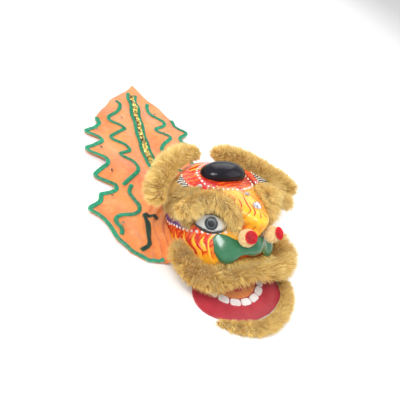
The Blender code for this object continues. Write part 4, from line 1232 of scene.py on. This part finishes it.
@dataclass
class Folds:
    """The soft folds of the spread cloth, and its gathers along the shell's neck rim.

    Attributes:
        height: the folds' height.
        scale: how many folds there are to the metre.
        gather: the depth of the gathers.
        pleat: how far apart they lie.
        reach_out: how far from the shell they die out.
        twist: how much they run across the rim instead of along it.
        half_width: half the shell's width.
        half_length: half its length.
    """

    height: float = 0.0150
    scale: float = 11.0
    gather: float = 0.0105
    pleat: float = 0.021
    reach_out: float = 0.060
    twist: float = 4.0
    half_width: float = 0.114
    half_length: float = 0.150

    def reach(self, place: Vector) -> float:
        """Return how far a place lies outside the shell's outline, seen from above."""
        share = math.hypot(place.x / self.half_width, (place.y - HEAD_MIDDLE_Y) / self.half_length)
        return (share - 1.0) * (self.half_width + self.half_length) / 2

    def lift(self, place: Vector) -> Vector:
        """Return where a point of the flat cloth lies once it is folded."""
        away = self.reach(place)
        spot = Vector((place.x * self.scale, place.y * self.scale * 0.45 + place.x * 2.0, 0.3))
        wave = noise.noise(spot) * 0.65 + noise.noise(spot * 2.3 + Vector((4.0, 1.0, 0.0))) * 0.35
        rise = self.height * within((away - 0.012) / 0.05) * within(wave + 0.32)
        turn = math.atan2(place.x, place.y - HEAD_MIDDLE_Y)
        pleat = math.sin(away * math.tau / self.pleat + noise.noise(place * 14.0) * 3.5 + turn * self.twist)
        close = math.exp(-((max(away, 0.0) / self.reach_out) ** 2)) * within(away / 0.008)
        rise += self.gather * close * (pleat + 1.0) / 2 * min(place.z / 0.004, 1.0)
        return Vector((place.x, place.y, max(place.z, 0.0) + rise))

    def apply(self, item: bpy.types.Object) -> None:
        """Fold a piece with the cloth that it is sewn to."""
        for vertex in item.data.vertices:
            vertex.co = self.lift(vertex.co)
        item.data.update()


def middle_line(node: str) -> tuple[list, float]:
    """Return the middle of a CAD ribbon's upper side, from end to end, and the ribbon's width.

    The ribbon's side walls are upright, so each of its corners is a post with one place seen from above. The
    walls join the posts in one loop, and the loop is folded at the ribbon's ends.

    Args:
        node: the ribbon's CAD node.

    Returns:
        The places along the middle, and the width.
    """
    shape = bmesh.new()
    shape.from_mesh(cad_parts[node].data)
    posts: dict[tuple, Vector] = {}
    links: dict[tuple, set] = {}
    for face in shape.faces:
        keys = set()
        for vertex in face.verts:
            key = (round(vertex.co.x, 5), round(vertex.co.y, 5))
            keys.add(key)
            if key not in posts or posts[key].z < vertex.co.z:
                posts[key] = vertex.co.copy()
        if len(keys) == 2:
            first, second = keys
            links.setdefault(first, set()).add(second)
            links.setdefault(second, set()).add(first)
    shape.free()
    loop = [min(links)]
    while True:
        onward = [key for key in sorted(links[loop[-1]]) if key not in loop[-2:] and key != loop[0]]
        if not onward:
            break
        loop.append(onward[0])
    spots = [posts[key] for key in loop]
    count = len(spots)

    def folded(turn: int) -> list:
        """Return the pairs that face each other when the loop is folded at a place."""
        return [(spots[(turn + i) % count], spots[(turn - 1 - i) % count]) for i in range(count // 2)]

    turn = min(range(count), key=lambda turn: max((a - b).length for a, b in folded(turn)))
    pairs = folded(turn)
    return [(a + b) / 2 for a, b in pairs], float(np.median([(a - b).length for a, b in pairs]))


@dataclass
class Cape:
    """The orange cape with its plaited braid trim, its sequin strip and its scattered sequins.

    Attributes:
        flat: the cloth's width and length as it was cut; not used.
        area: the cut's area; not used.
        strand: a braid strand's radius.
        twist: the length of one turn of the plait.
        half_braid: how far a strand swings to each side.
        sample: the distance between two sections of a strand.
        levels: how often the cloth's faces are divided.
        row_gap: the distance between two rows of sequins.
        columns: how many sequins a row has.
        sequin: a sequin's radius.
        sides: how many sides it has.
        tilt: how unevenly the sequins lie.
        above: how far a sequin lies over the cloth.
        scattered: the places of the loose sequins, in millimetres from the head's middle.
        braids: the braided CAD nodes.
        trim: the finishes of the bright and the dark braid, the gold and the smoky sequins and their backing.
        folds: the folds that the whole cape takes.
    """

    flat: tuple[float, float] = (0.511, 0.672)
    area: float = 0.172
    strand: float = 0.0021
    twist: float = 0.0095
    half_braid: float = 0.0039
    sample: float = 0.0016
    levels: int = 3
    row_gap: float = 0.0036
    columns: int = 4
    sequin: float = 0.0026
    sides: int = 6
    tilt: float = 0.28
    above: float = 0.0006
    scattered: tuple = (
        (-150, 419), (-168, 344), (-172, 261), (-57, 469), (-74, 399), (70, 499), (50, 402), (133, 442),
        (121, 358), (-201, 183), (-209, 100),
    )
    braids: tuple = (
        "braid_edge_right", "braid_edge_left", "braid_inner_right", "braid_inner_left", "braid_side_right",
        "braid_side_left", "braid_seam_right", "braid_seam_left", "spine_braid_right", "spine_braid_left",
    )
    trim: tuple = (
        Finish("braid_green", (0.024, 0.440, 0.240), (0.012, 0.24, 0.13), 0.5, 0.0, 130.0, 0.0002, True, 0.4),
        Finish("braid_dark", (0.010, 0.085, 0.048), (0.015, 0.04, 0.025), 0.6, 0.0, 130.0, 0.0002, True, 0.3),
        Finish("sequin_gold", (0.90, 0.62, 0.14), (0.10, 0.055, 0.015), 0.22, 0.5, 70.0, 0.00005, metal=0.85),
        Finish("sequin_smoky", (0.045, 0.028, 0.020), (0.30, 0.16, 0.05), 0.25, 0.4, 200.0, 0.00005),
        Finish("strip_backing", (0.42, 0.27, 0.06), (0.10, 0.06, 0.02), 0.6, 0.0, 300.0, 0.0002, True),
    )
    folds: Folds = field(default_factory=Folds)

    def build(self) -> dict[str, bpy.types.Object]:
        """Model the cloth, the plaits and the sequins flat, and then fold them together.

        Returns:
            The pieces by name.
        """
        cloth = copy_of_node("cape", "cape_cloth")
        self.divide(cloth, self.levels)
        apply_modifier(cloth, "SMOOTH", factor=0.5, iterations=4)
        surface = surface_of(cloth)
        pieces = {"cloth": cloth}
        pieces |= {node: self.plait(node, surface) for node in self.braids}
        pieces["backing"] = copy_of_node("spine_strip", "sequin_backing")
        self.divide(pieces["backing"], 2)
        pieces |= {"sequins": self.sequins(), "loose": self.loose_sequins(surface)}
        for piece in pieces.values():
            self.folds.apply(piece)
        smooth(cloth, SOFT_ANGLE)
        return pieces

    def divide(self, item: bpy.types.Object, levels: int) -> None:
        """Divide a piece's faces without rounding it."""
        apply_modifier(item, "SUBSURF", subdivision_type="SIMPLE", levels=levels, render_levels=levels)

    def height(self, surface: BVHTree, place: Vector) -> float:
        """Return the height of the cloth's upper side at a place, or the place's own beyond the hem."""
        spot, _, _, _ = surface.ray_cast(Vector((place.x, place.y, place.z + 0.004)), -UP, 0.012)
        return place.z - 0.0014 if spot is None else spot.z

    def plait(self, node: str, surface: BVHTree) -> bpy.types.Object:
        """Model one braid as three strands that cross each other."""
        line, _ = middle_line(node)
        path = resample(curve_through(line, 3), self.sample)
        last = len(path) - 1
        brush = Brush(surface)
        for strand in range(3):
            rows = []
            for index, place in enumerate(path):
                along = path[min(index + 1, last)] - path[max(index - 1, 0)]
                aside = Vector((-along.y, along.x, 0.0)).normalized()
                turn = math.tau * (index * self.sample / self.twist + strand / 3)
                spot = place + aside * self.half_braid * math.sin(turn)
                spot.z = self.height(surface, place) + self.strand * (0.85 + 0.55 * math.sin(turn * 2))
                rows.append([spot + way * self.strand for way in (aside, UP, -aside, -UP)])
            brush.tube(rows)
        return brush.lift_off(node + "_plait")

    def sequins(self) -> bpy.types.Object:
        """Model the strip of overlapping sequins."""
        chance = Chance(11)
        line, width = middle_line("spine_strip")
        points, faces = [], []
        path = resample(curve_through(line, 3), self.row_gap)
        for index, place in enumerate(path[:-1]):
            along = (path[index + 1] - place).normalized()
            aside = Vector((-along.y, along.x, 0.0)).normalized()
            for column in range(self.columns):
                share = (column + 0.5 + 0.25 * (-1) ** index) / self.columns - 0.5
                spot = place + aside * width * share * 0.92
                spot.z += self.above + 0.0005 * chance.rand()
                self.disc(points, faces, spot, chance, self.sequin)
        return mesh_piece("sequins", points, faces)

    def loose_sequins(self, surface: BVHTree) -> bpy.types.Object:
        """Model the larger sequins that are scattered over the cloth."""
        chance = Chance(12)
        points, faces = [], []
        for x, y in self.scattered:
            spot = Vector((x / 1000, y / 1000 + HEAD_MIDDLE_Y, 0.02))
            spot.z = self.height(surface, spot - UP * 0.004) + self.above
            self.disc(points, faces, spot, chance, self.sequin * 1.5)
        return mesh_piece("loose_sequins", points, faces)

    def disc(self, points: list, faces: list, spot: Vector, chance: Chance, radius: float) -> None:
        """Add one sequin, a shallow cup that is tilted a little."""
        tilt = Vector((chance.normal(0.0, self.tilt), chance.normal(0.0, self.tilt), 1.0)).normalized()
        side = tilt.orthogonal().normalized()
        across = tilt.cross(side)
        first = len(points)
        points.append(spot + tilt * 0.0001)
        for step in range(self.sides):
            angle = math.tau * step / self.sides
            points.append(spot + (side * math.cos(angle) + across * math.sin(angle)) * radius + tilt * 0.0004)
        points.append(spot - tilt * 0.0003)
        last = first + 1 + self.sides
        for step in range(self.sides):
            a, b = first + 1 + step, first + 1 + (step + 1) % self.sides
            faces.append((first, a, b))
            faces.append((last, b, a))

    def dress(self, pieces: dict[str, bpy.types.Object]) -> None:
        """Give the cape its cloth, its trim and its sequins."""
        finish(pieces["cloth"], (ClothFinish().make(),), Body.HEAD, "cape_orange", "cape")
        bright, dull, gold, smoky, backing = (colour.make() for colour in self.trim)
        for node in self.braids:
            finish(pieces[node], (dull if "seam" in node else bright,), Body.HEAD, "braid_green", node)
        finish(pieces["sequins"], (gold,), Body.HEAD, "sequin_gold")
        finish(pieces["loose"], (smoky,), Body.HEAD, "sequin_gold")
        finish(pieces["backing"], (backing,), Body.HEAD, "sequin_gold", "spine_strip")


# The furs and pompoms


@dataclass
class Furs:
    """All the golden fur of the head and the jaw.

    Attributes:
        squash_axis: a way for the lip fur to give way to the jaw; it is read but has no effect.
        squash_height: the height of its sewn-on edge; not used.
        keep: how much of its depth is left when the jaw is shut; not used.
        eye: the right eye's middle, which the brow's long hair leaves free.
        eye_room: how far the hair's roots stay from it.
        lip_band: how wide the band of hair along the upper lip is.
        sectors: in how many sectors round the head the upper lip's edge is looked up.
    """

    squash_axis: tuple[float, float, float] = (0.0, 0.0, 1.0)
    squash_height: float = 0.085
    keep: float = 0.12
    eye: tuple[float, float, float] = (0.086, -0.010, 0.127)
    eye_room: float = 0.027
    lip_band: float = 0.013
    sectors: int = 72

    def strips(self) -> list[Fur]:
        """Return the strips of fur that stand for CAD solids."""
        furs = []
        for side in Side:
            out = side.value
            ear = tuple(on_head(out * 0.105, 0.085, 0.150))
            ear_comb = (0.25 * out, 0.1, -0.25)
            brow_comb = (0.15 * out, -0.5, -0.25)
            ear_size = {"shrink": 0.007, "under": 0.7, "seed": 3}
            furs.append(Fur(f"ear_fur_{side.word}", Body.HEAD, 13000, 0.017, ear_comb, ear, **ear_size))
            furs.append(Fur(f"brow_fur_{side.word}", Body.HEAD, 10000, 0.021, brow_comb, seed=5, under=0.5))
        centre = tuple(on_head(0.0, 0.0, 0.0))
        lip = {"raised": 1.1, "under": 0.35, "cut": 0.023, "lift": 0.6, "seed": 7}
        furs.append(Fur("lip_fur", Body.HEAD, 18000, 0.020, (0.0, -0.1, 0.25), centre, **lip))
        chin = tuple(on_head(0.0, -0.06, 0.0))
        furs.append(Fur("beard_fur", Body.JAW, 14000, 0.015, (0.0, -0.1, 0.9), chin, seed=9, lift=0.85))
        return furs

    def brow_covers(self, root: np.ndarray, normal: np.ndarray) -> bool:
        """Return whether the brow's long hair grows from a point of the shell."""
        x, y, z = abs(root[0]), root[1] - HEAD_MIDDLE_Y, root[2]
        if normal[2] < -0.2 or normal[0] * root[0] < -0.0001:
            return False
        if math.dist((x, y, z), self.eye) < self.eye_room:
            return False
        low = 0.036 + abs(0.111 - y) * 0.62 + 0.012 * within((y - 0.02) / 0.03)
        beside = 0.012 < y < 0.138 and x > 0.070 and low < z < 0.126
        inner = float(np.interp(y, (-0.05, 0.01, 0.045, 0.06), (0.034, 0.036, 0.050, 0.075)))
        over = -0.048 < y < 0.056 and x > inner and z > 0.138
        return beside or over

    def ear_covers(self, root: np.ndarray, normal: np.ndarray) -> bool:
        """Return whether the ear's hair grows from a point of an ear board."""
        x, y = abs(root[0]), root[1] - HEAD_MIDDLE_Y
        return bool(normal[2] > 0.7 and (x > 0.139 or (y < 0.066 and x > 0.090)))

    def lip_covers(self, shell: bpy.types.Object) -> Callable:
        """Return a test of whether the lip's hair grows from a point, along the shell's upper lip."""
        lowest = np.full(self.sectors, 1.0)
        for vertex in shell.data.vertices:
            part = self.sector(vertex.co)
            lowest[part] = min(lowest[part], vertex.co.z)

        def covers(root: np.ndarray, normal: np.ndarray) -> bool:
            """Return whether a point is in the band over the lip's edge."""
            outside = normal[0] * root[0] + normal[1] * (root[1] - HEAD_MIDDLE_Y) > 0.0
            front = root[1] - HEAD_MIDDLE_Y < -0.028
            return bool(outside and front and root[2] - lowest[self.sector(root)] < self.lip_band)

        return covers

    def sector(self, place: Vector) -> int:
        """Return the number of the sector round the head's middle that a place is in."""
        return sector(place[1] - HEAD_MIDDLE_Y, place[0], self.sectors)

    def build(self, shell: bpy.types.Object) -> list[tuple]:
        """Grow each strip of fur, and the long hair on the shell and the ear boards.

        Args:
            shell: the painted shell.

        Returns:
            Each fur with its piece.
        """
        pieces = [(fur, fur.build()) for fur in self.strips()]
        hair = Fur("brow_hair", Body.HEAD, 15000, 0.021, (0.0, -0.35, -0.55), lift=0.55, clumps=420, seed=13)
        pieces.append((hair, hair.cover(shell, self.brow_covers)))
        lip = {"away_from": tuple(on_head(0.0, 0.0, 0.0)), "lift": 0.5, "clumps": 300, "seed": 15}
        hair = Fur("lip_hair", Body.HEAD, 9000, 0.022, (0.0, -0.2, 0.0), **lip)
        pieces.append((hair, hair.cover(shell, self.lip_covers(shell))))
        for side in Side:
            comb = (0.1 * side.value, -0.5, 0.1)
            hair = Fur(f"ear_hair_{side.word}", Body.HEAD, 3500, 0.019, comb, lift=0.7, clumps=120, seed=17)
            pieces.append((hair, hair.cover(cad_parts[f"ear_board_{side.word}"], self.ear_covers)))
        return pieces

    def dress(self, pieces: list[tuple]) -> None:
        """Colour the furs, and give each lip fur its own mesh."""
        # The golden fur's dark brown root colour is partly the fur's own and partly painted shade deep in the
        # pile.
        golden = FurFinish("golden_fur", (0.44, 0.22, 0.030), (0.90, 0.61, 0.135), (1.0, 0.84, 0.38)).make()
        for fur, piece in pieces:
            fur.dress(piece, golden, "golden_fur")
            if fur.node.startswith("lip"):
                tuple(self.squash_axis)
                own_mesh(piece)


@dataclass
class Pompoms:
    """The two cream yarn pompoms with their red fronts."""

    pile: float = 0.0024

    def build(self) -> list[tuple]:
        """Grow each ball and its red front."""
        pieces = []
        for side in Side:
            still = (0.0, 0.0, 0.01)
            size = {"shrink": 0.0018, "lift": 0.98, "clumps": 900, "width": 0.0009}
            ball = Fur(f"pompom_{side.word}", Body.HEAD, 7000, self.pile, still, seed=21, **size)
            tip = Fur(f"pompom_tip_{side.word}", Body.HEAD, 4500, self.pile * 1.6, still, seed=23, **size)
            pieces += [(ball, ball.build(), False), (tip, tip.build(), True)]
        return pieces

    def dress(self, pieces: list[tuple]) -> None:
        """Colour the yarn."""
        cream = FurFinish("pompom_cream", (0.84, 0.62, 0.30), (0.93, 0.74, 0.42), (0.97, 0.84, 0.56)).make()
        red = FurFinish("pompom_red", (0.80, 0.004, 0.022), (0.92, 0.010, 0.040), (0.97, 0.05, 0.08)).make()
        for fur, piece, front in pieces:
            fur.dress(piece, red if front else cream, "pompom_red" if front else "pompom_cream")


# The studio


@dataclass
class Studio:
    """The plain pale floor, the soft lights and the camera at the photo's angle.

    Attributes:
        eye: the camera's place.
        right: the way to the picture's right.
        up: the way to its top.
        back: the way from the lion to the camera.
        lens: the lens's focal length in millimetres.
    """

    eye: tuple[float, float, float] = (-0.758, -0.7195, 0.784)
    right: tuple[float, float, float] = (0.784, -0.457, 0.419)
    up: tuple[float, float, float] = (0.0565, 0.725, 0.686)
    back: tuple[float, float, float] = (-0.6176, -0.5146, 0.5948)
    lens: float = 45.0

    def build(self) -> None:
        """Lay the floor and set the lights and the camera."""
        for item in bpy.context.selected_objects:
            item.select_set(False)
        bpy.ops.mesh.primitive_plane_add(size=14.0, location=(0.0, 0.0, -0.0004))
        floor = bpy.context.active_object
        floor.name = "lion_floor"
        paint(floor, Finish("floor_pale", (0.93, 0.93, 0.93), (0.90, 0.90, 0.90), 0.9, 0.0, 2.0, 0.0).make())
        self.lamp("key_light", (-1.5, -0.6, 1.9), 1.1, 50.0)
        self.lamp("fill_light", (1.6, -1.4, 1.6), 2.2, 16.0)
        self.lamp("back_light", (1.3, 1.9, 2.3), 2.6, 44.0)
        world = bpy.data.worlds.new("studio")
        world.use_nodes = True
        world.node_tree.nodes["Background"].inputs[0].default_value = (1.0, 1.0, 1.0, 1.0)
        world.node_tree.nodes["Background"].inputs[1].default_value = 0.66
        bpy.context.scene.world = world
        bpy.context.scene.view_settings.view_transform = "Standard"
        camera = bpy.data.cameras.new("photo_camera")
        camera.lens = self.lens
        camera.sensor_width = 36.0
        camera.clip_start = 0.01
        item = bpy.data.objects.new("photo_camera", camera)
        bpy.context.scene.collection.objects.link(item)
        turn = Matrix((self.right, self.up, self.back)).transposed().to_4x4()
        item.matrix_world = Matrix.Translation(Vector(self.eye)) @ turn
        bpy.context.scene.camera = item

    def lamp(self, name: str, place: tuple[float, float, float], size: float, power: float) -> None:
        """Hang a soft lamp that shines at the head."""
        light = bpy.data.lights.new(name, "AREA")
        light.size = size
        light.energy = power
        item = bpy.data.objects.new(name, light)
        bpy.context.scene.collection.objects.link(item)
        item.location = place
        aim = Vector((0.0, -0.15, 0.08)) - Vector(place)
        item.rotation_euler = aim.to_track_quat("-Z", "Y").to_euler()


def main() -> None:
    """Build and dress the lion's head piece by piece."""
    logging.basicConfig(level=logging.INFO, format="%(message)s")
    Studio().build()
    painted = PaintedShell()
    coats = painted.build()
    painted.dress(coats)
    log.info("PaintedShell: %d pieces", len(coats))
    furs = Furs()
    strips = furs.build(coats["painted_shell"])
    furs.dress(strips)
    log.info("Furs: %d pieces", len(strips))
    for maker in (EarPatches(), Eyes(), Bosses(), Mouth(), Cape(), Pompoms()):
        pieces = maker.build()
        maker.dress(pieces)
        log.info("%s: %d pieces", type(maker).__name__, len(pieces))


if __name__ == "__main__":
    main()
